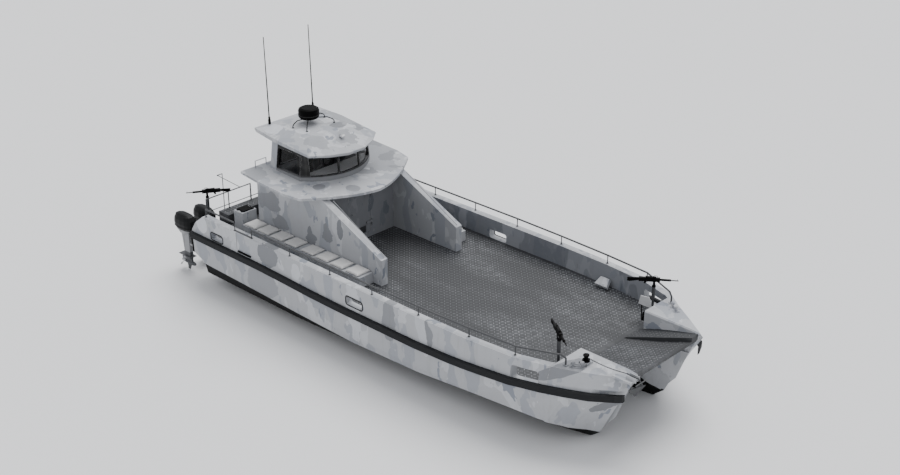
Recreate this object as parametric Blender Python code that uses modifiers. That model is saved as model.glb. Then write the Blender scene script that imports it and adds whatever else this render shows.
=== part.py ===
"""A military landing craft: a 14 m catamaran with a level cargo deck, an aft wheelhouse and four outboards.

Metres, +Z up. X runs forward from the transom, Y to port, and Z from the flat keels, which stand on the
ground. The craft_origin empty moves all of it so that the origin lies under the middle of the craft.
"""

import math

import bmesh
import bpy
from mathutils import Matrix, Vector

# Driving dimensions, in metres
ORIGIN_X = 6.7985
GAP = 0.0003
SIDES = (("starboard", -1), ("port", 1))

DECK_Z = 1.62
DECK_PLATE = 0.045
DECK_LOW_Z = DECK_Z - DECK_PLATE
HULL_TOP_Z = DECK_LOW_Z - GAP
DECK_END_X = 12.60
KNUCKLE_Z = 1.80
CAP_Z = 2.20
CAP_WIDTH = 0.20
INBOARD_Y = 0.80
WET_DECK_Z = 1.10
FOREDECK_INBOARD_Y = 1.22

DECKHOUSE_AFT_X = 1.42
BULKHEAD_X = 3.95
WALL_OUTER_Y = 1.52
WALL_THICKNESS = 0.06
WING_THICKNESS = 0.22
WING_TOP_X = 4.08
WING_END_X = 6.38
WING_END_Z = 2.35
CABIN_FLOOR_Z = 2.10
DOOR_HINGE_Z = (2.10, 3.00)

# The brow falls forward: its top is at BROW_Z over the deckhouse's aft wall
BROW_Z = 3.60
BROW_FALL = 0.045
BROW_THICKNESS = 0.07

WHEELHOUSE_AFT_X = 1.77
WHEELHOUSE_CORNER_X = 3.02
WHEELHOUSE_FRONT_X = 3.66
WHEELHOUSE_HALF_WIDTH = 1.31
WHEELHOUSE_LEAN = 0.13
SILL_Z = 3.645
SIDE_SILL_Z = 3.625
# The roof falls forward too: its underside is at HEAD_Z over the wheelhouse's aft wall
HEAD_Z = 4.36
HEAD_FALL = 0.06
ROOF_Z = 4.60
# Columns: x, y of each whip antenna's foot, starboard first
WHIP_FEET = ((1.23, -0.80), (1.23, 0.80))
WHIP_LOW_Z = 4.585
WHIP_TOP_Z = 7.08

# Rings of a hull, aft to forward, on the port side. Each point is (x, y, z), from the keel's inner edge out
# and round: keel, keel, low chine, chine, side at the deck, inboard at the deck, inboard chine
HULL_RINGS = (
    ((0.00, 1.20, 0.88), (0.00, 1.44, 0.88), (0.00, 2.70, 0.88), (0.00, 2.80, 0.92), 0.00, 2.83, 0.80, (0.00, 0.80, 0.92)),
    ((0.40, 1.20, 0.74), (0.40, 1.44, 0.74), (0.40, 2.70, 0.73), (0.40, 2.80, 0.76), 0.40, 2.83, 0.80, (0.40, 0.80, 0.78)),
    ((0.45, 1.12, 0.00), (0.45, 1.36, 0.00), (0.45, 2.72, 0.40), (0.45, 2.80, 0.72), 0.45, 2.83, 0.80, (0.45, 0.80, 0.55)),
    ((4.50, 1.12, 0.00), (4.50, 1.36, 0.00), (4.50, 2.73, 0.42), (4.50, 2.80, 0.73), 4.50, 2.83, 0.80, (4.50, 0.80, 0.55)),
    ((8.90, 1.12, 0.00), (8.90, 1.36, 0.00), (8.90, 2.76, 0.62), (8.90, 2.80, 0.78), 8.90, 2.83, 0.80, (8.90, 0.80, 0.58)),
    ((10.5, 1.12, 0.00), (10.5, 1.36, 0.00), (10.5, 2.68, 0.72), (10.5, 2.74, 0.78), 10.5, 2.79, 0.80, (10.5, 0.80, 0.62)),
    ((11.85, 1.13, 0.00), (11.85, 1.35, 0.00), (11.85, 2.46, 0.68), (11.85, 2.53, 0.73), 11.85, 2.70, 0.80, (11.85, 0.80, 0.66)),
    ((12.65, 1.15, 0.00), (12.65, 1.33, 0.00), (12.65, 2.17, 0.53), (12.65, 2.32, 0.63), 12.65, 2.52, 0.80, (12.65, 0.81, 0.70)),
    ((13.00, 1.18, 0.00), (13.00, 1.31, 0.00), (12.98, 1.76, 0.30), (12.98, 1.93, 0.45), 13.15, 2.26, 0.95, (13.00, 0.93, 0.72)),
    ((13.13, 1.20, 0.00), (13.13, 1.29, 0.00), (13.15, 1.48, 0.14), (13.22, 1.52, 0.31), 13.65, 1.97, 1.09, (13.45, 1.10, 0.73)),
    ((13.20, 1.21, 0.02), (13.20, 1.27, 0.02), (13.26, 1.28, 0.07), (13.43, 1.28, 0.21), 14.10, 1.30, 1.19, (13.80, 1.20, 0.76)),
)

# Topsides above the deck. Columns: x, side y at the knuckle, side y at the cap, top z
BULWARK_STATIONS = (
    (0.00, 2.83, 2.822, 1.66),
    (0.18, 2.83, 2.822, 1.92),
    (0.54, 2.83, 2.822, CAP_Z),
    (4.50, 2.83, 2.822, CAP_Z),
    (8.90, 2.83, 2.822, CAP_Z),
    (10.50, 2.79, 2.78, CAP_Z),
    (11.85, 2.70, 2.66, CAP_Z),
    (12.65, 2.52, 2.42, CAP_Z),
    (12.745, 2.471, 2.365, CAP_Z),
)
# The foredeck's rings. Columns: low x, low y, knuckle x, knuckle y, edge x, edge y, edge z, ridge x, ridge z
FOREDECK_RINGS = (
    (12.746, 2.470, 12.746, 2.470, 12.746, 2.36, 2.19, 12.746, 2.20),
    (13.15, 2.26, 13.15, 2.27, 13.15, 2.10, 2.13, 13.10, 2.20),
    (13.65, 1.97, 13.65, 1.99, 13.65, 1.80, 2.10, 13.60, 2.20),
    (13.95, 1.52, 14.12, 1.63, 14.15, 1.47, 2.08, 14.10, 2.20),
    (14.10, 1.30, 14.24, 1.31, 14.40, 1.29, 2.07, 14.34, 2.17),
)
# Columns: middle x, half length, top z
FREEING_PORTS = (
    (1.145, 0.27, 1.86),
    (6.73, 0.31, 1.88),
    (12.20, 0.355, 2.01),
)
FREEING_PORT_LOW_Z = 1.63

# Columns: x, top z of the rub strake
STRAKE_TOPS = (
    (0.0, 1.60),
    (3.0, 1.60),
    (4.0, 1.575),
    (5.0, 1.54),
    (6.2, 1.525),
    (8.9, 1.54),
    (10.0, 1.57),
    (11.0, 1.63),
    (12.0, 1.705),
    (12.65, 1.745),
    (13.15, 1.72),
    (13.65, 1.70),
    (14.12, 1.695),
    (14.19, 1.64),
)
STRAKE_HEIGHT = 0.19
STRAKE_DEPTH = 0.10

# Columns: x of a guard-rail stanchion, its y
STANCHIONS = (
    (0.62, 2.755),
    (1.90, 2.755),
    (2.62, 2.755),
    (4.19, 2.755),
    (5.76, 2.755),
    (7.32, 2.755),
    (8.91, 2.72),
    (10.51, 2.65),
    (11.85, 2.54),
)
# Columns: x, y of a bollard's two posts
BOLLARD_POSTS = ((13.07, 1.95), (13.24, 1.83))
RAIL_END = (12.94, 2.05)
RAIL_END_Z = 2.185
WINDLASS_XY = (13.20, -1.64)
WINDLASS_Z = 2.205
ANCHOR_Y = -1.51
RAIL_Z = 2.433
RAIL_RADIUS = 0.024

SEAT_PADS_X = (1.58, 2.13, 2.71, 3.29, 3.97, 4.56, 5.14, 5.74)
SEAT_PAD_LENGTH = 0.50
SEAT_Y = (1.53, 2.02)
BENCH_X = (1.27, 6.06)
BENCH_Z = 1.92
PAD_THICKNESS = 0.08

LOCKER_X = (0.80, 1.18)
LOCKER_Y = (1.42, 1.92)
# Measured from the locker's middle x, and then outboard from the middle of the craft
LID_HALF_LENGTH = 0.15
LID_Y = (1.47, 1.84)
LID_HINGE_Y = 1.87
LOCKER_Z = 2.20

PLATFORM_X = (0.06, 0.50)
PLATFORM_Z = 1.93

# Columns: name, y of the engine's middle
OUTBOARDS = (
    ("starboard_outer", -2.50),
    ("starboard_inner", -1.82),
    ("port_inner", 1.82),
    ("port_outer", 2.50),
)
TILT_AXIS = (-0.30, 1.26)
STEER_AXIS_X = -0.46
COWL_LOW_Z = 1.34
COWL_TOP_Z = 1.80
PROPELLER_X = -0.95
PROPELLER_Z = 0.25
PROPELLER_RADIUS = 0.18
PROPELLER_BLADES = 3

# Columns: name, x, y, foot z, turn of the gun from straight ahead in degrees
GUN_MOUNTS = (
    ("fore_starboard", 12.55, -1.83, DECK_Z, -35.0),
    ("fore_port", 12.55, 1.83, DECK_Z, 35.0),
    ("aft_starboard", -0.06, -2.17, 1.50, -123.0),
    ("aft_port", -0.06, 2.17, 1.50, 123.0),
)
GUN_AXIS_Z = {"fore": 2.76, "aft": 2.60}


for old in list(bpy.data.objects):
    bpy.data.objects.remove(old, do_unlink=True)

craft = bpy.data.collections.new("landing_craft")
shaping = bpy.data.collections.new("landing_craft_cutters")
bpy.context.scene.collection.children.link(craft)
bpy.context.scene.collection.children.link(shaping)

origin = bpy.data.objects.new("craft_origin", None)
origin.location = (-ORIGIN_X, 0.0, 0.0)
craft.objects.link(origin)


def finish(name, colour, roughness, metallic=0.0):
    """A Principled material of one colour."""
    made = bpy.data.materials.new(name)
    made.use_nodes = True
    shader = made.node_tree.nodes["Principled BSDF"]
    shader.inputs["Base Color"].default_value = (*colour, 1.0)
    shader.inputs["Roughness"].default_value = roughness
    shader.inputs["Metallic"].default_value = metallic
    return made


CAMOUFLAGE = finish("winter_camouflage", (0.42, 0.43, 0.46), 0.55)
STRAKE_RUBBER = finish("strake_rubber", (0.035, 0.037, 0.04), 0.6)
TREAD_PLATE = finish("tread_plate", (0.16, 0.17, 0.17), 0.45, 0.8)
RAIL_STEEL = finish("rail_steel", (0.20, 0.21, 0.22), 0.35, 0.9)
SEAT_VINYL = finish("seat_vinyl", (0.45, 0.45, 0.45), 0.6)
BLACK_METAL = finish("black_metal", (0.015, 0.015, 0.016), 0.45, 0.4)
ENGINE_PAINT = finish("engine_paint", (0.05, 0.052, 0.055), 0.25)
TINTED_GLASS = finish("tinted_glass", (0.02, 0.022, 0.025), 0.05)
CONSOLE_GREY = finish("console_grey", (0.12, 0.12, 0.13), 0.5)


def craft_object(name, mesh, material, parent=origin, location=(0.0, 0.0, 0.0)):
    """A named part in the craft's collection, hung from an empty."""
    made = bpy.data.objects.new(name, mesh)
    craft.objects.link(made)
    made.parent = parent
    made.location = location
    mesh.materials.clear()
    mesh.materials.append(material)
    return made


def pivot(name, location, parent=origin):
    """An empty on a joint's axis, which carries the piece that moves."""
    made = bpy.data.objects.new(name, None)
    made.empty_display_size = 0.2
    made.location = location
    made.parent = parent
    craft.objects.link(made)
    return made


def mesh_of(build, name):
    """A mesh filled by build(bm), with its faces turned outwards."""
    bm = bmesh.new()
    build(bm)
    bmesh.ops.recalc_face_normals(bm, faces=bm.faces)
    mesh = bpy.data.meshes.new(name)
    bm.to_mesh(mesh)
    bm.free()
    return mesh


def box_mesh(name, x_range, y_range, z_range):
    """A box between two values on each axis."""
    low = Vector((x_range[0], y_range[0], z_range[0]))
    high = Vector((x_range[1], y_range[1], z_range[1]))
    place = Matrix.Translation((low + high) / 2) @ Matrix.Diagonal((*(high - low), 1.0))
    return mesh_of(lambda bm: bmesh.ops.create_cube(bm, size=1.0, matrix=place), name)


def plate_mesh(name, corners, thickness):
    """A flat plate of any outline in space, given by its corners."""
    points = [Vector(corner) for corner in corners]
    normal = (points[1] - points[0]).cross(points[2] - points[0]).normalized() * (thickness / 2)
    rings = [[tuple(point - normal) for point in points], [tuple(point + normal) for point in points]]
    return loft_mesh(name, rings)


def rod_mesh(name, start, end, radius, sides=16, end_radius=None):
    """A round bar, or a cone, from one point to another."""
    start = Vector(start)
    along = Vector(end) - start
    turn = along.to_track_quat("Z", "Y").to_matrix().to_4x4()
    place = Matrix.Translation(start + along / 2) @ turn
    far = radius if end_radius is None else end_radius

    def build(bm):
        bmesh.ops.create_cone(
            bm, cap_ends=True, segments=sides, radius1=radius, radius2=far, depth=along.length, matrix=place
        )

    return mesh_of(build, name)


def loft_mesh(name, rings, caps=None):
    """A closed skin over rings of equally many points; each end is one flat face, or the faces that caps names."""

    def build(bm):
        rows = [[bm.verts.new(point) for point in ring] for ring in rings]
        for near, far in zip(rows, rows[1:]):
            for i in range(len(near)):
                j = (i + 1) % len(near)
                bm.faces.new((near[i], near[j], far[j], far[i]))
        for row in (rows[0], rows[-1]):
            for cap in caps or (tuple(range(len(row))),):
                bm.faces.new([row[i] for i in cap])
        bmesh.ops.triangulate(bm, faces=bm.faces, ngon_method="EAR_CLIP")

    return mesh_of(build, name)


def mesh_from_curve(name, curve, place=Matrix.Identity(4)):
    """The curve's skin as a mesh, with its caps welded on."""
    holder = bpy.data.objects.new(name, curve)
    bpy.context.scene.collection.objects.link(holder)
    holder.matrix_world = place
    graph = bpy.context.evaluated_depsgraph_get()
    mesh = bpy.data.meshes.new_from_object(holder.evaluated_get(graph))
    mesh.transform(place)
    bpy.data.objects.remove(holder)
    bm = bmesh.new()
    bm.from_mesh(mesh)
    bmesh.ops.remove_doubles(bm, verts=bm.verts, dist=0.00002)
    bmesh.ops.recalc_face_normals(bm, faces=bm.faces)
    bm.to_mesh(mesh)
    bm.free()
    return mesh


def slab_mesh(name, outline, low, high, plane="XY"):
    """A flat outline given thickness from low to high across its plane (XY, XZ or YZ)."""
    curve = bpy.data.curves.new(name, "CURVE")
    curve.dimensions = "2D"
    curve.fill_mode = "BOTH"
    curve.extrude = (high - low) / 2
    spline = curve.splines.new("POLY")
    spline.points.add(len(outline) - 1)
    for point, (u, v) in zip(spline.points, outline):
        point.co = (u, v, 0.0, 1.0)
    spline.use_cyclic_u = True
    middle = (low + high) / 2
    places = {
        "XY": Matrix.Translation((0.0, 0.0, middle)),
        "XZ": Matrix(((1, 0, 0, 0), (0, 0, -1, middle), (0, 1, 0, 0), (0, 0, 0, 1))),
        "YZ": Matrix(((0, 0, 1, middle), (1, 0, 0, 0), (0, 1, 0, 0), (0, 0, 0, 1))),
    }
    return mesh_from_curve(name, curve, places[plane])


def tube_mesh(name, points, radius, resolution=2):
    """A round tube through points, with closed ends."""
    curve = bpy.data.curves.new(name, "CURVE")
    curve.dimensions = "3D"
    curve.bevel_depth = radius
    curve.bevel_resolution = resolution
    curve.use_fill_caps = True
    spline = curve.splines.new("POLY")
    spline.points.add(len(points) - 1)
    for point, place in zip(spline.points, points):
        point.co = (*place, 1.0)
    return mesh_from_curve(name, curve)


def shaping_object(name, mesh, target):
    """A hidden helper beside the target that its Boolean modifiers use."""
    made = bpy.data.objects.new(name, mesh)
    made.parent = target.parent
    made.location = target.location
    made.hide_render = True
    made.display_type = "WIRE"
    shaping.objects.link(made)
    return made


def combine(target, mesh, operation):
    """Joins a mesh to the target or cuts it away, by a Boolean modifier."""
    number = len(target.modifiers)
    helper = shaping_object(f"{target.name}_{operation.lower()}_{number}", mesh, target)
    modifier = target.modifiers.new(f"{operation.lower()}_{number}", "BOOLEAN")
    modifier.operation = operation
    modifier.solver = "EXACT"
    modifier.object = helper


def unite(target, meshes):
    for mesh in meshes:
        combine(target, mesh, "UNION")


def cut(target, meshes):
    for mesh in meshes:
        combine(target, mesh, "DIFFERENCE")


def turned_mesh(name, profile, sides, place=Matrix.Identity(4)):
    """A profile of (radius, height) points turned about Z by a Screw modifier, then put in place."""
    outline = bpy.data.meshes.new(name)
    outline.from_pydata(
        [(radius, 0.0, height) for radius, height in profile], [(i, i + 1) for i in range(len(profile) - 1)], []
    )
    holder = bpy.data.objects.new(name, outline)
    bpy.context.scene.collection.objects.link(holder)
    screw = holder.modifiers.new("turn", "SCREW")
    screw.steps = sides
    screw.render_steps = sides
    screw.use_merge_vertices = True
    screw.merge_threshold = 0.0001
    graph = bpy.context.evaluated_depsgraph_get()
    mesh = bpy.data.meshes.new_from_object(holder.evaluated_get(graph))
    bpy.data.objects.remove(holder)
    mesh.transform(place)
    bm = bmesh.new()
    bm.from_mesh(mesh)
    bmesh.ops.remove_doubles(bm, verts=bm.verts, dist=0.0001)
    bmesh.ops.recalc_face_normals(bm, faces=bm.faces)
    bm.to_mesh(mesh)
    bm.free()
    return mesh


def mirrored(points, side):
    """Port-side points put on the given side."""
    return [(x, side * y, z) for x, y, z in points]


def value_at(stations, x, column):
    """A column of a table of stations, read between its rows."""
    for near, far in zip(stations, stations[1:]):
        if x <= far[0]:
            part = (x - near[0]) / (far[0] - near[0])
            return near[column] + part * (far[column] - near[column])
    return stations[-1][column]


def build_hulls():
    for side_name, side in SIDES:
        rings = []
        for keel_in, keel_out, low_chine, chine, side_x, side_y, in_y, in_chine in HULL_RINGS:
            deck_edge = ((side_x, side_y, HULL_TOP_Z), (side_x, in_y, HULL_TOP_Z))
            rings.append(mirrored((keel_in, keel_out, low_chine, chine, *deck_edge, in_chine), side))
        craft_object(f"hull_{side_name}", loft_mesh("hull", rings), CAMOUFLAGE)


def build_bridge_deck():
    edge = INBOARD_Y - GAP
    outline = ((0.30, HULL_TOP_Z), (0.30, 1.25), (0.50, WET_DECK_Z), (DECK_END_X - GAP, WET_DECK_Z))
    outline += ((DECK_END_X - GAP, HULL_TOP_Z),)
    craft_object("bridge_deck", slab_mesh("bridge_deck", outline, -edge, edge, "XZ"), CAMOUFLAGE)


def inner_side_y(x):
    """The inside of the bulwark at a station."""
    return value_at(BULWARK_STATIONS, x, 2) - CAP_WIDTH


def build_cargo_deck():
    """One plate between the bulwarks, which runs on a little under each foredeck's aft face."""
    edge = [(x, inner_side_y(x) - GAP) for x in (0.05, 8.90, 10.50, 11.85, 12.65, 12.745)]
    edge += [(12.745, FOREDECK_INBOARD_Y + GAP), (DECK_END_X - GAP, FOREDECK_INBOARD_Y + GAP)]
    outline = edge + [(x, -y) for x, y in reversed(edge)]
    craft_object("cargo_deck", slab_mesh("cargo_deck", outline, DECK_LOW_Z, DECK_Z), TREAD_PLATE)


def build_bow_apron():
    """The deck's raked end between the stems, with a raised shelf along each side."""
    rings = []
    # Columns: x, apron z, shelf z inboard, shelf z outboard, shelf's inboard y, bottom y, bottom z
    stations = (
        (DECK_END_X, 1.620, 1.628, 1.632, 0.64, 0.796, 1.11),
        (12.66, 1.635, 1.665, 1.672, 0.65, 0.796, 1.12),
        (13.15, 1.759, 1.840, 1.850, 0.69, 0.930, 1.36),
        (13.70, 1.898, 2.000, 2.010, 0.79, 1.080, 1.70),
        (14.30, 2.050, 2.150, 2.160, 0.98, 1.195, 1.98),
    )
    outer = FOREDECK_INBOARD_Y - 2 * GAP
    ledge_z = DECK_LOW_Z + GAP
    for x, apron_z, shelf_in_z, shelf_out_z, shelf_y, bottom_y, bottom_z in stations:
        side_low_z = max(ledge_z, bottom_z + 0.02)
        half = (
            (x, shelf_y, apron_z),
            (x, shelf_y + 0.002, shelf_in_z),
            (x, outer, shelf_out_z),
            (x, outer, side_low_z),
            (x, bottom_y, side_low_z),
            (x, bottom_y - 0.02, bottom_z),
        )
        rings.append(list(half) + [(px, -py, pz) for px, py, pz in reversed(half)])
    shelf_caps = [(0, 1, 2), (0, 2, 3), (0, 3, 4), (0, 4, 5)]
    far_caps = [tuple(11 - i for i in cap) for cap in shelf_caps]
    caps = [*shelf_caps, *far_caps, (0, 5, 6, 11)]
    craft_object("bow_apron", loft_mesh("bow_apron", rings, caps), TREAD_PLATE)


def rounded_rectangle(u_range, v_range, radius, steps=4):
    """The outline of a rectangle with round corners."""
    corners = (
        (u_range[1] - radius, v_range[1] - radius, 0.0),
        (u_range[0] + radius, v_range[1] - radius, 90.0),
        (u_range[0] + radius, v_range[0] + radius, 180.0),
        (u_range[1] - radius, v_range[0] + radius, 270.0),
    )
    outline = []
    for u, v, start in corners:
        for i in range(steps + 1):
            angle = math.radians(start + 90.0 * i / steps)
            outline.append((u + radius * math.cos(angle), v + radius * math.sin(angle)))
    return outline


def build_bulwarks():
    low = DECK_LOW_Z
    for side_name, side in SIDES:
        rings = []
        for x, knuckle_y, cap_y, top_z in BULWARK_STATIONS:
            knuckle_z = min(KNUCKLE_Z, top_z - 0.01)
            ring = (
                (x, knuckle_y, low),
                (x, knuckle_y, knuckle_z),
                (x, cap_y, top_z),
                (x, cap_y - CAP_WIDTH, top_z),
                (x, cap_y - CAP_WIDTH, low),
            )
            rings.append(mirrored(ring, side))
        bulwark = craft_object(f"bulwark_{side_name}", loft_mesh("bulwark", rings), CAMOUFLAGE)
        ports = []
        for middle, half, top_z in FREEING_PORTS:
            outline = rounded_rectangle((middle - half, middle + half), (FREEING_PORT_LOW_Z, top_z), 0.07, 3)
            ports.append(slab_mesh("freeing_port", outline, side * 2.66 - 0.4, side * 2.66 + 0.4, "XZ"))
        cut(bulwark, ports)


def build_foredecks():
    """A solid cheek over each stem, whose top falls outboard from a ridge, with a pair of bollards."""
    for side_name, side in SIDES:
        rings = []
        for low_x, low_y, knuckle_x, knuckle_y, edge_x, edge_y, edge_z, ridge_x, ridge_z in FOREDECK_RINGS:
            ring = (
                (low_x, low_y, DECK_LOW_Z),
                (knuckle_x, knuckle_y, KNUCKLE_Z),
                (edge_x, edge_y, edge_z),
                (ridge_x, FOREDECK_INBOARD_Y + 0.03, ridge_z),
                (ridge_x, FOREDECK_INBOARD_Y, ridge_z - 0.03),
                (low_x, FOREDECK_INBOARD_Y, DECK_LOW_Z),
            )
            rings.append(mirrored(ring, side))
        foredeck = craft_object(f"foredeck_{side_name}", loft_mesh("foredeck", rings), CAMOUFLAGE)
        bollard = []
        (aft_x, aft_y), (fore_x, fore_y) = BOLLARD_POSTS
        for x, y in BOLLARD_POSTS:
            bollard.append(rod_mesh("post", (x, side * y, 2.08), (x, side * y, 2.28), 0.033, 12))
            bollard.append(rod_mesh("post_head", (x, side * y, 2.24), (x, side * y, 2.27), 0.05, 12))
        reach_x, reach_y = (fore_x - aft_x) * 0.35, (fore_y - aft_y) * 0.35
        bar = [(aft_x - reach_x, side * (aft_y - reach_y), 2.205), (fore_x + reach_x, side * (fore_y + reach_y), 2.205)]
        bollard.append(rod_mesh("cross_bar", bar[0], bar[1], 0.020, 12))
        wide_x, wide_y = -reach_y, reach_x
        base = (
            (aft_x - reach_x + wide_x, side * (aft_y - reach_y + wide_y)),
            (aft_x - reach_x - wide_x, side * (aft_y - reach_y - wide_y)),
            (fore_x + reach_x - wide_x, side * (fore_y + reach_y - wide_y)),
            (fore_x + reach_x + wide_x, side * (fore_y + reach_y + wide_y)),
        )
        bollard.append(slab_mesh("bollard_base", base, 2.08, 2.155))
        end_x, end_y = RAIL_END
        foot_y = sorted((side * (end_y - 0.05), side * (end_y + 0.05)))
        bollard.append(box_mesh("rail_foot", (end_x - 0.05, end_x + 0.05), foot_y, (2.08, RAIL_END_Z)))
        unite(foredeck, bollard)
        if side < 0:
            anchor_y = ANCHOR_Y
            cheeks = [box_mesh("roller_bed", (13.98, 14.50), (anchor_y - 0.17, anchor_y + 0.17), (2.115, 2.165))]
            pad_x, pad_y = WINDLASS_XY
            cheeks.append(box_mesh("windlass_pad", (pad_x - 0.12, pad_x + 0.12), (pad_y - 0.11, pad_y + 0.11), (2.08, WINDLASS_Z)))
            for y in (anchor_y - 0.076, anchor_y + 0.062):
                cheeks.append(box_mesh("roller_cheek", (14.28, 14.56), (y, y + 0.014), (2.15, 2.26)))
            roller = [(14.50, anchor_y - 0.07, 2.20), (14.50, anchor_y + 0.07, 2.20)]
            cheeks.append(rod_mesh("roller", roller[0], roller[1], 0.034, 16))
            unite(foredeck, cheeks)


def side_y_at(x):
    """The side at the knuckle, along the bulwark and then the foredeck."""
    if x <= 12.746:
        return value_at(BULWARK_STATIONS, x, 1)
    return value_at([(ring[2], ring[3]) for ring in FOREDECK_RINGS], x, 1)


def build_strakes():
    for side_name, side in SIDES:
        rings = []
        side_stations = [row[0] for row in BULWARK_STATIONS] + [ring[2] for ring in FOREDECK_RINGS[1:4]]
        xs = sorted({round(x, 3) for x in side_stations + [row[0] for row in STRAKE_TOPS]})
        for x in xs:
            top_z = value_at(STRAKE_TOPS, x, 1)
            inner = side_y_at(x) + 2 * GAP
            outer = inner + STRAKE_DEPTH
            low = top_z - STRAKE_HEIGHT
            ring = (
                (x, inner, low),
                (x, outer - 0.025, low),
                (x, outer, low + 0.025),
                (x, outer, top_z - 0.02),
                (x, outer - 0.02, top_z),
                (x, inner, top_z),
            )
            rings.append(mirrored(ring, side))
        craft_object(f"rub_strake_{side_name}", loft_mesh("rub_strake", rings), STRAKE_RUBBER)


def brow_low_z(x):
    """The underside of the brow, which falls forward."""
    return BROW_Z - BROW_THICKNESS - BROW_FALL * (x - DECKHOUSE_AFT_X)


def brow_top_z(x):
    return brow_low_z(x) + BROW_THICKNESS


def head_z(x):
    """The underside of the roof."""
    return HEAD_Z - HEAD_FALL * (x - WHEELHOUSE_AFT_X)


def build_deckhouse():
    """Side walls that run forward as sloping wings, an aft wall, a front bulkhead and a raised cabin floor."""
    wall_low = DECK_Z + GAP
    wing_inner = WALL_OUTER_Y - WING_THICKNESS
    outline = (
        (DECKHOUSE_AFT_X, wall_low),
        (WING_END_X, wall_low),
        (WING_END_X, WING_END_Z),
        (WING_TOP_X, brow_low_z(WING_TOP_X) - GAP),
        (DECKHOUSE_AFT_X, brow_low_z(DECKHOUSE_AFT_X) - GAP),
    )
    walls = slab_mesh("side_wall", outline, wing_inner, WALL_OUTER_Y, "XZ")
    house = craft_object("deckhouse", walls, CAMOUFLAGE)
    aft_end = (DECKHOUSE_AFT_X, DECKHOUSE_AFT_X + WALL_THICKNESS)
    bulkhead = (BULKHEAD_X - WALL_THICKNESS, BULKHEAD_X)
    between = (-wing_inner - 0.05, wing_inner + 0.05)
    unite(
        house,
        [
            slab_mesh("other_side_wall", outline, -WALL_OUTER_Y, -wing_inner, "XZ"),
            box_mesh("aft_wall", aft_end, between, (wall_low, brow_low_z(aft_end[1]) - GAP)),
            box_mesh("front_bulkhead", bulkhead, between, (wall_low, brow_low_z(BULKHEAD_X) - GAP)),
            box_mesh(
                "cabin_floor", (aft_end[0] + 0.02, bulkhead[1] - 0.02), between, (CABIN_FLOOR_Z - 0.05, CABIN_FLOOR_Z)
            ),
        ],
    )
    door_cut = rounded_rectangle((-0.40, 0.40), (1.75, 3.30), 0.10, 3)
    cut(house, [slab_mesh("doorway", door_cut, BULKHEAD_X - 0.2, BULKHEAD_X + 0.2, "YZ")])
    hinge_x, hinge_y = BULKHEAD_X + 0.035, 0.43
    lugs = []
    for z in DOOR_HINGE_Z:
        lug_z = (z - 0.13, z - 0.06 - GAP)
        lugs.append(rod_mesh("lug", (hinge_x, hinge_y, lug_z[0]), (hinge_x, hinge_y, lug_z[1]), 0.018, 12))
        lugs.append(box_mesh("lug_arm", (BULKHEAD_X - 0.02, hinge_x), (hinge_y - 0.012, hinge_y + 0.012), lug_z))
    unite(house, lugs)
    clear = 0.008
    leaf_outline = rounded_rectangle((-0.40 + clear, 0.40 - clear), (1.75 + clear, 3.30 - clear), 0.10 - clear, 3)
    hinge = pivot("deckhouse_door_hinge", (hinge_x, hinge_y, 0.0))
    leaf = slab_mesh("door_leaf", leaf_outline, BULKHEAD_X - 0.045, BULKHEAD_X - 0.005, "YZ")
    leaf.transform(Matrix.Translation(-Vector(hinge.location)))
    door = craft_object("deckhouse_door", leaf, CAMOUFLAGE, hinge)
    arms = []
    for z in DOOR_HINGE_Z:
        arms.append(rod_mesh("hinge_pin", (0.0, 0.0, z - 0.06), (0.0, 0.0, z + 0.06), 0.018, 12))
        arms.append(box_mesh("hinge_strap", (-0.028, 0.008), (-0.20, 0.008), (z - 0.03, z + 0.03)))
        arms.append(box_mesh("hinge_block", (-0.06, -0.02), (-0.19, -0.05), (z - 0.025, z + 0.025)))
    arms.append(rod_mesh("handle", (-0.05, -0.74, 2.50), (0.04, -0.74, 2.50), 0.015, 8))
    unite(door, arms)


def brow_outline():
    """Half of the brow's edge, aft to forward, as (x, y): square aft corners and a bowed front."""
    front = []
    for i in range(9):
        part = i / 8
        y = 2.02 * (1.0 - part)
        front.append((3.83 + 0.96 * (1.0 - (y / 2.02) ** 1.6), y))
    return [(1.42, 2.06), (2.30, 2.13), (3.30, 2.13)] + front


def build_brow():
    """The thin plate over the deckhouse, tipped forward by a shear, with a stairwell and a grab rail."""
    half = brow_outline()
    outline = half + [(x, -y) for x, y in reversed(half[:-1])]
    fall = Matrix(((1, 0, 0, 0), (0, 1, 0, 0), (-BROW_FALL, 0, 1, BROW_FALL * DECKHOUSE_AFT_X), (0, 0, 0, 1)))
    plate = slab_mesh("brow", outline, BROW_Z - BROW_THICKNESS, BROW_Z)
    plate.transform(fall)
    brow = craft_object("brow_platform", plate, CAMOUFLAGE)
    stairwell = whole([(max(x, 2.05), min(y, 1.05)) for x, y in wheelhouse_outline(0.16)])
    cut(brow, [slab_mesh("stairwell", stairwell, 3.2, 3.9)])
    foot_z = brow_top_z(1.50) - 0.03
    rail_z = foot_z + 0.22
    for _, side in SIDES:
        tube = [(1.50, side * y, z) for y, z in ((1.60, foot_z), (1.60, rail_z), (1.22, rail_z), (1.22, foot_z))]
        unite(brow, [tube_mesh("grab_rail", tube, 0.015)])


def wheelhouse_outline(inset):
    """Half of the wheelhouse in plan, drawn in by inset, aft to forward: flat side and aft wall, bowed front."""
    half_width = WHEELHOUSE_HALF_WIDTH - inset
    corner_x = WHEELHOUSE_CORNER_X - inset * 0.4
    front_x = WHEELHOUSE_FRONT_X - inset
    half = [(WHEELHOUSE_AFT_X + inset, half_width), (corner_x, half_width)]
    for i in range(1, 7):
        part = i / 6
        half.append((corner_x + (front_x - corner_x) * (1.0 - (1.0 - part) ** 2.2), half_width * (1.0 - part)))
    return half


def whole(half):
    """Both halves of an outline whose last point is on the middle line."""
    return half + [(x, -y) for x, y in reversed(half[:-1])]


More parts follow.
